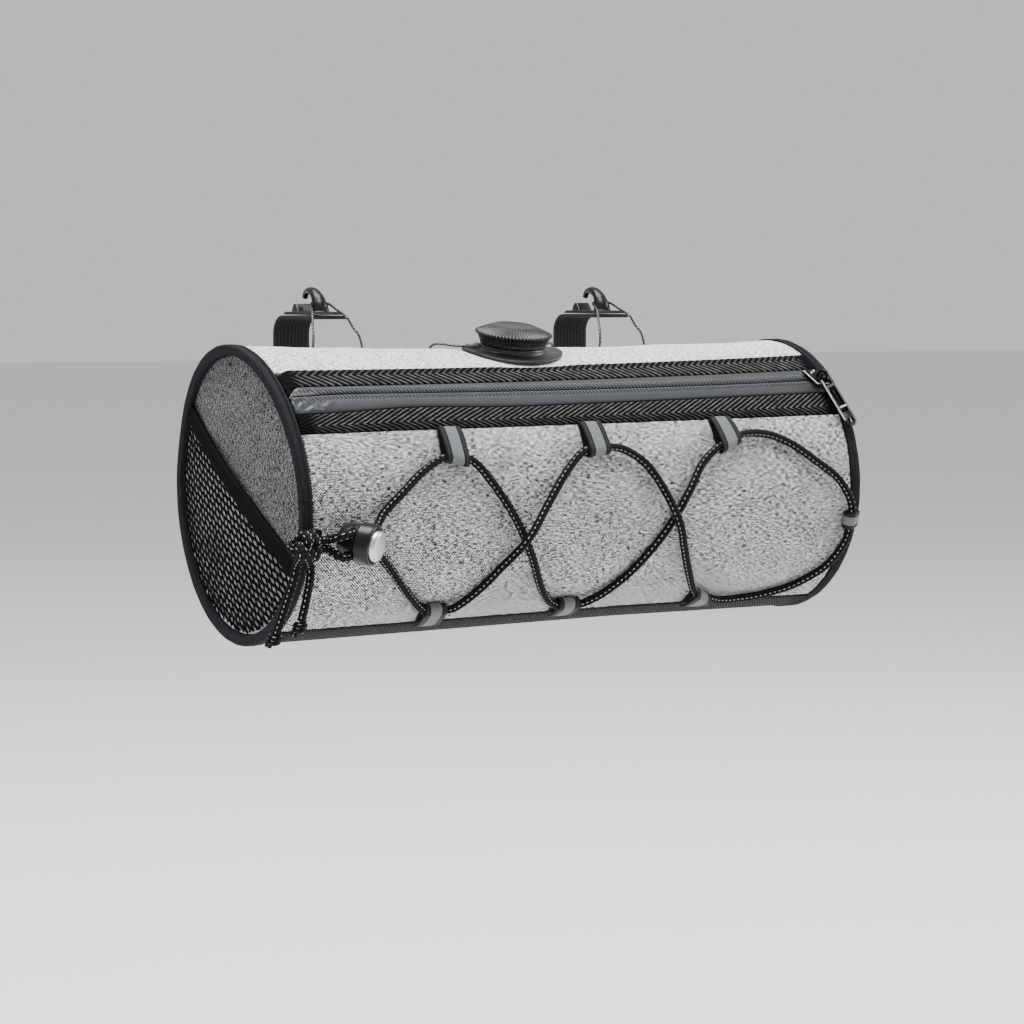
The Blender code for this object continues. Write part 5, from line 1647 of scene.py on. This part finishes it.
def cap_teeth(radius, height, turn):
    """Teeth round the rim that fade into ribs down the side."""
    low, high = COLLAR_HEIGHT + GAP, COLLAR_HEIGHT + GAP + CAP_HEIGHT
    on_side = np.clip((radius - CAP_RADIUS + 0.0032) / 0.0022, 0.0, 1.0)
    below = np.clip((high - 0.0012 - height) / 0.0014, 0.0, 1.0) * np.clip((height - low) / 0.0012, 0.0, 1.0)
    tooth = np.abs(np.sin(turn * CAP_TEETH / 2)) ** 0.7
    return radius - CAP_TOOTH * (1.0 - tooth) * on_side * below, height


# %% [markdown]
# Each profile is a short list of radius and height, from the middle of the top round to the underside. Smooth
# stretches run through their points as curves, and the flat faces keep their corners.

# %% Dial
def make_dial():
    satin = moulded("satin plastic", 0.010, 0.30, 0.00025, 0.00002, 0.42)
    lip, shoulder = COLLAR_RADIUS + LIP_WIDTH, (FLANGE_THICKNESS + COLLAR_HEIGHT) / 2
    flare = rounded(((COLLAR_RADIUS + 0.0006, COLLAR_HEIGHT), (COLLAR_RADIUS + 0.0012, COLLAR_HEIGHT - 0.0005),
                     (lip - 0.0006, shoulder), (lip + LIP_WIDTH * 0.5, FLANGE_THICKNESS * 1.7),
                     (FLANGE_RADIUS - LIP_WIDTH, FLANGE_THICKNESS + GAP), (FLANGE_RADIUS - 0.0003, FLANGE_THICKNESS),
                     (FLANGE_RADIUS, 0.7 * FLANGE_THICKNESS)))
    under = ((FLANGE_RADIUS, GAP), (COLLAR_RADIUS, GAP), (0.0003, GAP))
    profile = np.concatenate([[(0.0003, COLLAR_HEIGHT)], flare, under])
    points, faces = turned_mesh(profile, FLANGE_SIDES, saddle)
    add_piece("dial_foot", points, faces, "dark_plastic", satin, nodes=["dial_base"])
    low, high = COLLAR_HEIGHT + GAP, COLLAR_HEIGHT + GAP + CAP_HEIGHT
    rim = high - CAP_CONE
    cone = [(CAP_TOP, high), (CAP_TOP + 0.0006, high - 0.0002), (CAP_RADIUS - 0.0008, rim + 0.0002)]
    side = rounded(((CAP_RADIUS - 0.0004, rim), (CAP_RADIUS, rim - 0.0004), (CAP_RADIUS - 0.0001, rim - 0.0009),
                    (CAP_RADIUS - 0.0008, rim - 0.0015), (CAP_RADIUS - 0.0015, low + 0.0020),
                    (CAP_RADIUS - 0.0021, low + 0.0006), (CAP_RADIUS - 0.0023, low)))
    top = [(0.0003, high - 0.0002), (CAP_TOP - 0.0012, high - 0.0002), (CAP_TOP - 0.0006, high), *cone]
    points, faces = turned_mesh(np.concatenate([top, side, [(0.0003, low)]]), CAP_SIDES,
                                about(DIAL_MIDDLE, DIAL_AXIS, DIAL_FRONT), cap_teeth)
    add_piece("dial_knob", points, faces, "dark_plastic", satin, nodes=["dial_cap"], body="dial")


make_dial()
print("saddle, collar and cap done")

# %% [markdown]
# The lace is a rope of thin steel wires. Its twist is a sine of the place along it plus the turn round it.

# %% Steel lace
LACE_TWIST = 0.0016


def lace_finish():
    finish = Finish("steel lace", 0.3, 0.85)
    run, c, s = finish.weave()
    around = finish.math("ARCTAN2", s, c) / (2 * math.pi)
    strand = ((run / LACE_TWIST + around * 3.0) * (2 * math.pi)).sin() * 0.5 + 0.5
    finish.feed(Base_Color=finish.ramp(strand, ((0.1, grey(0.010)), (0.9, (0.13, 0.135, 0.14)))),
                Roughness=strand * -0.15 + 0.42)
    finish.bump(strand, 0.00012)
    return finish


LACE_FINISH = lace_finish()


def lace(name, path, node):
    path = smooth_line(path, 0.0006)
    round_cord(name, path, LACE_DIAMETER, "lace", LACE_FINISH, unit([0.35, -0.5, 0.8]), sides=8, nodes=[node])


# %% [markdown]
# A ferrule is a stepped sleeve where the lace leaves the dial. From there the lace runs a few millimetres over the
# cloth and dives into it.

# %% Ferrules and the dial's laces
GUIDE_RADIUS = 0.0014
GUIDE_LENGTH = 0.0052
GUIDE_TURN = 24.0
DIAL_LACE_RUN = 0.012
DIAL_LACE_ANGLE = 17.0


def make_sleeves():
    """The ferrules where the thin lace leaves the dial, and the lace from there into the cloth."""
    metal = moulded("ferrule", 0.16, 0.34)
    turn = math.radians(GUIDE_TURN)
    for side, label in ((-1.0, "left"), (1.0, "right")):
        way = RIGHT * side * math.cos(turn) - DIAL_FRONT * math.sin(turn)
        start = (DIAL_MIDDLE + way * (COLLAR_RADIUS + LIP_WIDTH * 0.6)
                 + DIAL_AXIS * (FLANGE_THICKNESS + 2 * GAP + GUIDE_RADIUS))
        r, n = GUIDE_RADIUS, GUIDE_LENGTH
        shape = ((0.0001, n), (r * 0.62, n), (r * 0.78, n * 0.96), (r * 0.80, n * 0.74), (r * 0.98, n * 0.70),
                 (r, n * 0.66), (r, n * 0.12), (r * 0.9, n * 0.04), (r * 0.85, 0.0), (0.0001, 0.0))
        points, faces = turned_mesh(shape, 32, about(start, way, unit(np.cross(way, DIAL_AXIS))))
        add_piece("lace_sleeve_" + label, points, faces, "gloss_plastic", metal, nodes=["lace_guide_" + label])
        begin = start + way * (GUIDE_LENGTH - 0.0008)
        x = begin[0] + side * DIAL_LACE_RUN
        angle, rise = DIAL_ANGLE + DIAL_LACE_ANGLE, LACE_DIAMETER / 2
        lace("lace_run_" + label, [
            begin, begin + way * DIAL_LACE_RUN / 3 - DIAL_AXIS * LACE_DIAMETER * 0.6,
            on_bag(x - side * DIAL_LACE_RUN / 6, angle - 2.0, rise + 1.4 * LACE_DIAMETER),
            on_bag(x, angle, rise), on_bag(x + side * 0.0008, angle + 0.6, rise - 1.5 * LACE_DIAMETER)],
            "lace_dial_" + label)


make_sleeves()
print("dial done")

# %% [markdown]
# A hook is moulded in one with its base plate. Its horn is a tube that tapers along a curved line, a low ridge stands
# behind it, and the plate lies under both. A voxel Remesh fuses the three, and a Smooth modifier then rounds every
# edge and fills the corners between them, as in a moulding. Beveled blocks would be lighter, but would show seams
# where they meet. The straps are plain black webbing, and each lace follows a listed route round its horn.

# %% Hooks
BAR_DEPTH = 0.038
BAR_HEIGHT = 0.025
STRAP_WIDTH = 0.016
STRAP_THICKNESS = 0.0014
HOOK_WIDTH = 0.014
HOOK_FRONT = 0.0140
HOOK_REAR = 0.0135
HOOK_BASE = 0.0012
HOOK_EASE = 0.0016
HORN_FOOT = -0.006
# The horn's middle line and thickness in millimetres: back from its foot, up from the plate, half its width and half
# its depth.
HORN_LINE = ((0.0, -0.6, 3.9, 3.2), (0.2, 1.0, 3.5, 2.7), (0.8, 3.0, 3.05, 2.2), (2.4, 5.6, 2.6, 1.95),
             (5.2, 7.6, 2.3, 1.80), (8.2, 8.3, 2.0, 1.65), (11.0, 8.0, 1.7, 1.45), (12.7, 6.8, 1.4, 1.25),
             (13.4, 5.2, 1.2, 1.05))
RIDGE = ((0.0068, -0.0003), (0.0088, 0.0019), (0.0098, 0.0031), (0.0112, 0.0032), (0.0124, 0.0020),
         (0.0134, -0.0003))
RIDGE_WIDTH = 0.0064
HORN_SIDES = 32
VOXEL = 0.00028
HOOK_UNDER = BAR_HEIGHT / 2 + 2 * GAP + STRAP_THICKNESS
HOOK_TOP = HOOK_UNDER + HOOK_BASE


def prism_mesh(outline, half, to_world):
    """An outline given a thickness either side of its plane."""
    outline = np.asarray(outline, float)
    count = len(outline)
    points = np.concatenate([to_world(outline, -half), to_world(outline, half)])
    ring = [[k, (k + 1) % count, (k + 1) % count + count, k + count] for k in range(count)]
    return points, [list(range(count)), list(range(2 * count - 1, count - 1, -1)), *ring]


def merged(parts):
    """Several (points, faces) shapes as one."""
    points, faces, total = [], [], 0
    for more_points, more_faces in parts:
        flat = np.asarray(more_points).reshape(-1, 3)
        points.append(flat)
        faces += [[int(k) + total for k in face] for face in more_faces]
        total += len(flat)
    return np.concatenate(points), faces


def make_hook(x0, label, finish):
    def lying(outline, v):
        return np.column_stack([np.full(len(outline), x0 + v), outline])

    line = np.array(HORN_LINE) * MILLIMETRE
    fine = smooth_line(np.column_stack([np.zeros(len(line)), line[:, :2]]), 0.0004)
    share = np.interp(np.linspace(0, 1, len(fine)), np.linspace(0, 1, len(line)), np.arange(len(line)))
    sizes = np.stack([np.interp(share, np.arange(len(line)), line[:, k]) for k in (2, 3)], -1)
    path = fine + np.array([x0, HORN_FOOT, HOOK_TOP])
    ahead = np.gradient(path, axis=0)
    horn = tube_grid(path, sizes, HORN_SIDES, np.cross(RIGHT, ahead))
    ridge = np.array(RIDGE) + np.array([0.0, HOOK_TOP])
    plate = ((-HOOK_FRONT, HOOK_UNDER), (HOOK_REAR, HOOK_UNDER), (HOOK_REAR, HOOK_TOP - HOOK_EASE * 0.6),
             (HOOK_REAR - HOOK_EASE, HOOK_TOP), (-HOOK_FRONT + HOOK_EASE, HOOK_TOP),
             (-HOOK_FRONT, HOOK_TOP - HOOK_EASE * 0.6))
    points, faces = merged([(horn, tube_faces(len(path), HORN_SIDES, 0)), prism_mesh(ridge, RIDGE_WIDTH / 2, lying),
                            prism_mesh(plate, HOOK_WIDTH / 2, lying)])
    hook = add_piece("bar_hook_" + label, points, faces, "gloss_plastic", finish, nodes=["hook_" + label])
    reshape(hook, [("fused", "REMESH", {"mode": "VOXEL", "voxel_size": VOXEL}),
                   ("softened", "SMOOTH", {"factor": 0.5, "iterations": 7})])


# %% [markdown]
# A strap is a strip whose side view climbs the bag's back, leaves it as a tangent, and turns over the bar in one
# corner. A Bezier stretch joins the bag to the bar.

# %% Straps
STRAP_CORNER = 0.007
STRAP_START = 196.0
STRAP_LEAVES = 168.0
STRAP_LOW = 0.18
STRAP_WEFT = 0.0014
STRAP_COLUMN = 0.0016


def strap_line():
    """The strap's middle line in (y, z): up the bag's back, behind the bar and forward over its flat top."""
    mid = GAP + STRAP_THICKNESS / 2
    line = [on_bag(0.0, angle, mid)[1:] for angle in np.linspace(STRAP_START, STRAP_LEAVES, 12)]
    rear, top = BAR_DEPTH / 2 + mid, BAR_HEIGHT / 2 + mid
    first, second = line[-1], np.array([rear, -BAR_HEIGHT * STRAP_LOW])
    leave = unit(line[-1] - line[-2])
    pull = np.linalg.norm(second - first) * 0.42
    a, b = first + leave * pull, second - np.array([0.0, pull])
    for t in np.linspace(0.1, 0.9, 9):
        line.append(first * (1 - t) ** 3 + a * 3 * t * (1 - t) ** 2 + b * 3 * t * t * (1 - t) + second * t ** 3)
    line.append(second)
    for angle in np.radians(np.linspace(0.0, 90.0, 12)):
        line.append(np.array([rear - STRAP_CORNER, top - STRAP_CORNER])
                    + STRAP_CORNER * np.array([math.cos(angle), math.sin(angle)]))
    line += [np.array([y, top]) for y in np.linspace(rear - STRAP_CORNER - 0.002, -HOOK_FRONT + GAP, 10)]
    return np.array(line)


# %% [markdown]
# A lace comes out of the cloth, passes round the horn just above the plate and goes back in. It is held tight, so
# its route is a list of places given one by one.

# %% Hook laces
LACE_SEAT = 0.0034
# A lace's points: x from the hook's middle, y, and the height above the plate.
LACE_ROUTE = (
    (-0.0124, -0.0243, -0.0119), (-0.0108, -0.0207, -0.0052), (-0.0083, -0.0150, 0.0004),
    (-0.0044, -0.0062, LACE_SEAT - 0.0012), (-0.0034, -0.0040, LACE_SEAT - 0.0005), (-0.0020, -0.0025, LACE_SEAT),
    (0.0, -0.0021, LACE_SEAT + 0.0001), (0.0022, -0.0027, LACE_SEAT + 0.0001), (0.0034, -0.0048, LACE_SEAT),
    (0.0036, -0.0080, LACE_SEAT - 0.0007), (0.0034, -0.0140, 0.0007), (0.0042, -0.0202, -0.0018),
    (0.0062, -0.0218, -0.0059), (0.0084, -0.0240, -0.0106),
)


def lace_route(x0):
    """The lace's loop from the cloth over the bar's front edge, round the horn and back into the cloth."""
    first, last = [on_bag(x0 + x, LACE_ENTERS, -LACE_PULL) for x in LACE_ENDS]
    return [first, *[(x0 + x, y, HOOK_TOP + rise) for x, y, rise in LACE_ROUTE], last]


# %% [markdown]
# The webbing's columns run along it and its weft goes over one column and under the next, which is a sine whose
# phase turns by half a wave in every other column.

# %% Webbing, and both holders
def strap_finish():
    finish = Finish("strap webbing", 0.85, Specular_IOR_Level=0.25)
    run, across, _ = finish.weave()
    other = (across / STRAP_COLUMN).fraction() > 0.5
    weft = (run * (2 * math.pi / STRAP_WEFT) + other * math.pi).sin() * 0.5 + 0.5
    column = (across * (2 * math.pi / STRAP_COLUMN)).sin() * 0.5 + 0.5
    height = weft * 0.55 + column * 0.45
    finish.feed(Base_Color=finish.ramp(height, ((0.1, grey(0.003)), (0.9, grey(0.028)))))
    finish.bump(height, 0.0003)
    return finish


def make_holders():
    webbing = strap_finish()
    for x0, label in ((-HOOK_SPACING / 2, "left"), (HOOK_SPACING / 2, "right")):
        def on_strap(s, h, v, x0=x0):
            return np.stack(np.broadcast_arrays(x0 + v, s, h), -1)

        strip("bar_strap_" + label, strap_line(), on_strap, STRAP_THICKNESS, STRAP_WIDTH, "black_cloth", webbing,
              nodes=["hook_strap_" + label])
        make_hook(x0, label, GLOSS)
        lace("hook_lace_" + label, lace_route(x0), "lace_hook_" + label)


make_holders()
print("hooks, straps and laces done")

# %% [markdown]
# The slider is a pressed plate with a round arch on top. The pull is a thin tab that hangs on a bar under that arch,
# with windows between its rails. Both are outlines given a thickness and softened by a Bevel modifier. The dark
# plating glints along some edges, and these glints are painted: thin pale wires and two pale studs lie there as
# painted highlights, because a bevel alone is too narrow to glint from afar.

# %% Places of the slider and the pull
SLIDER_FROM_END = 0.0108
SLIDER_LENGTH = 0.0120
SLIDER_WIDTH = 0.0084
SLIDER_THICKNESS = 0.0013
SLIDER_LIFT = 0.0006
ZIP_CROWN = 0.0008
PIN_HEIGHT = 0.0018
PIN_OFFSET = 0.0016
BAIL_RADIUS = 0.0022
BAIL_WIRE = 0.0011
PULL_LENGTH = 0.0245
PULL_WIDTH = 0.0066
PULL_THICKNESS = 0.0012
PULL_BAR = 0.0014
PULL_RAIL = 0.0013
GLINT_WIRE = 0.0007
GLINT_WIRE_SIDES = 10
GLINT_STUD_RADIUS = 0.00055
# The painted highlight studs' places as shares of the slider's half length and half width.
GLINT_STUDS = ((-0.45, -0.42), (-0.20, -0.62))
PULL_AROUND = 70.3
PULL_DROP = 17.0


def slider_frame():
    """The slider's middle on the zip, with the ways down the cloth and out of it."""
    x = BAG_LENGTH / 2 - SLIDER_FROM_END
    angle = float(zip_line(lambda x: ZIP_EDGES[2])(x))
    return on_barrel(x, angle), downhill(angle), outward(angle)


SLIDER_LOW = ZIP_CROWN + GAP + SLIDER_LIFT
SLIDER_HIGH = SLIDER_LOW + SLIDER_THICKNESS
SLIDER_MIDDLE, SLIDER_DOWN, SLIDER_OUT = slider_frame()


def pull_frame():
    """The pin's place, the way the pull hangs, the pin's direction and the pull's own outward side."""
    turn, drop = math.radians(PULL_AROUND), math.radians(PULL_DROP)
    flat_way = RIGHT * math.cos(turn) + SLIDER_DOWN * math.sin(turn)
    way = flat_way * math.cos(drop) - SLIDER_OUT * math.sin(drop)
    pin = unit(np.cross(SLIDER_OUT, flat_way))
    at = SLIDER_MIDDLE + flat_way * PIN_OFFSET + SLIDER_OUT * (SLIDER_HIGH + PIN_HEIGHT)
    return at, way, pin, unit(np.cross(way, pin))


# %% [markdown]
# The plating is a dark tone that noise turns brighter in small worn spots. The slider is an outline with a raised
# middle, an arch for the pull, and the pale wires and studs of painted highlight along its edges.

# %% Slider
def plated(name, tones, roughness):
    """Plated metal, a little brighter where it is worn."""
    finish = Finish(name, roughness, 0.7)
    worn = finish.noise(finish.place(), 900.0, 3.0)
    finish.feed(Base_Color=finish.ramp(worn, ((0.35, tones[0]), (0.8, tones[1]))),
                Roughness=worn * 0.12 + (roughness - 0.06))
    return finish


def glint_wire(path, up):
    """A thin pale wire along an edge, a painted highlight."""
    rings = tube_grid(path, (GLINT_WIRE / 2, GLINT_WIRE / 2), GLINT_WIRE_SIDES, np.broadcast_to(up, path.shape))
    return rings, tube_faces(len(path), GLINT_WIRE_SIDES, 0)


def make_slider(finish, glint_finish):
    half, side = SLIDER_LENGTH / 2, SLIDER_WIDTH / 2
    outline = [(-half, -side * 0.80), (-half * 0.62, -side * 0.92), (half * 0.80, -side), (half, -side * 0.72),
               (half, side * 0.72), (half * 0.80, side), (-half * 0.30, side), (-half * 0.52, side * 0.72)]

    def lying(flat, v):
        return (SLIDER_MIDDLE + RIGHT * flat[:, :1] + SLIDER_DOWN * flat[:, 1:]
                + SLIDER_OUT * ((SLIDER_LOW + SLIDER_HIGH) / 2 + v))

    def raised(flat, v):
        return lying(flat * np.array([0.62, 0.55]), v + SLIDER_THICKNESS * 0.55)

    at, _, pin, _ = pull_frame()
    flat_way = np.cross(pin, SLIDER_OUT)
    turn = np.radians(np.linspace(0.0, 180.0, 25))[:, None]
    arch = at + BAIL_RADIUS * (flat_way * np.cos(turn) + SLIDER_OUT * np.sin(turn))
    foot = SLIDER_OUT * (PIN_HEIGHT + SLIDER_THICKNESS / 2)
    arch = np.concatenate([arch[:1] - foot, arch, arch[-1:] - foot])
    rings = tube_grid(arch, (BAIL_WIRE / 2 * 1.25, BAIL_WIRE / 2), 14, np.broadcast_to(pin, arch.shape))
    plate = merged([prism_mesh(outline, SLIDER_THICKNESS / 2, lying),
                    prism_mesh(outline, SLIDER_THICKNESS * 0.12, raised)])
    body = add_piece("slider_plate", *merged([plate, (rings, tube_faces(len(arch), 14, 0))]), "dark_metal", finish,
                     nodes=["zip_slider"])
    reshape(body, [bevel(0.00028, 55.0)])
    rim = lying(np.array([outline[k] for k in (0, 7, 6, 5)]) * 0.97, SLIDER_THICKNESS / 2)
    edge = smooth_line(rim, 0.0003)
    glint_parts = [glint_wire(edge, SLIDER_OUT)]
    glint_stud = ((0.0001, GLINT_STUD_RADIUS), (GLINT_STUD_RADIUS * 0.7, GLINT_STUD_RADIUS * 0.7), (GLINT_STUD_RADIUS, 0.0),
            (0.0001, -GLINT_STUD_RADIUS))
    for x, y in GLINT_STUDS:
        place = lying(np.array([[half * x, side * y]]), SLIDER_THICKNESS * 0.66)[0]
        glint_parts.append(turned_mesh(glint_stud, 16, about(place, SLIDER_OUT, RIGHT)))
    add_piece("slider_glint", *merged(glint_parts), "dark_metal", glint_finish)


# %% [markdown]
# The tab is one outline with windows cut by Boolean modifiers before its edges are beveled. It rides on its own
# body, whose hinge is the pin under the arch, and so do its pale wires of painted highlight.

# %% Pull
def make_pull(finish, glint_finish):
    at, way, pin, face = pull_frame()
    half, back, tip = PULL_WIDTH / 2, PULL_BAR / 2, PULL_LENGTH - PULL_BAR / 2
    eye_end = BAIL_RADIUS + BAIL_WIRE + PULL_BAR / 2 + GAP

    def lying(flat, v):
        return at + way * flat[:, :1] + pin * flat[:, 1:] + face * v

    bend = [(tip - half * 0.8 * (1 - math.sin(a)), half * 0.98 * math.cos(a)) for a in np.linspace(0.0, 1.45, 7)]
    outline = [(-back, half * 0.80), (eye_end, half * 0.86), (eye_end + PULL_BAR, half), (tip - half, half), *bend]
    outline += [(x, -y) for x, y in reversed(outline)]
    inside = half - PULL_RAIL
    first = eye_end + PULL_BAR
    second = first + 0.34 * PULL_LENGTH
    windows = ((back, eye_end, half * 0.80 - PULL_RAIL * 0.7), (first, second, inside),
               (second + PULL_BAR, second + 2.2 * PULL_BAR, inside),
               (tip - 2.6 * PULL_BAR, tip - 1.2 * PULL_BAR, inside * 0.8))
    tab = add_piece("pull_tab", *prism_mesh(outline, PULL_THICKNESS / 2, lying), "dark_metal", finish,
                    nodes=["zip_pull"], body="pull")
    cutters = []
    for start, end, side in windows:
        shape = ((start, -side), (end, -side), (end, side), (start, side))
        cutters.append(new_object("cutter", *prism_mesh(shape, PULL_THICKNESS * 2, lying)))
    steps = [(f"window {k}", "BOOLEAN", {"operation": "DIFFERENCE", "object": cutter})
             for k, cutter in enumerate(cutters)]
    reshape(tab, [*steps, bevel(0.00022, 40.0)])
    for cutter in cutters:
        bpy.data.objects.remove(cutter)
    height = PULL_THICKNESS / 2
    rail_glint_line = lying(np.array([(eye_end * 0.4, -half * 0.86), (first, -half * 0.94), (tip - half, -half * 0.94)]), height)
    glint_parts = []
    for line in (rail_glint_line, lying(np.array([(second + PULL_BAR / 2, -inside), (second + PULL_BAR / 2, inside)]), height)):
        glint_parts.append(glint_wire(smooth_line(line, 0.0004), face))
    add_piece("pull_glint", *merged(glint_parts), "dark_metal", glint_finish, body="pull")


PLATED = plated("dark plating", (grey(0.004), grey(0.016)), 0.24)
# The pale wires and studs are painted highlights: glints on the dark plating's edges.
PAINTED_GLINT = plated("painted glint", (grey(0.45), grey(0.75)), 0.20)
make_slider(PLATED, PAINTED_GLINT)
make_pull(PLATED, PAINTED_GLINT)
print("slider and pull done")
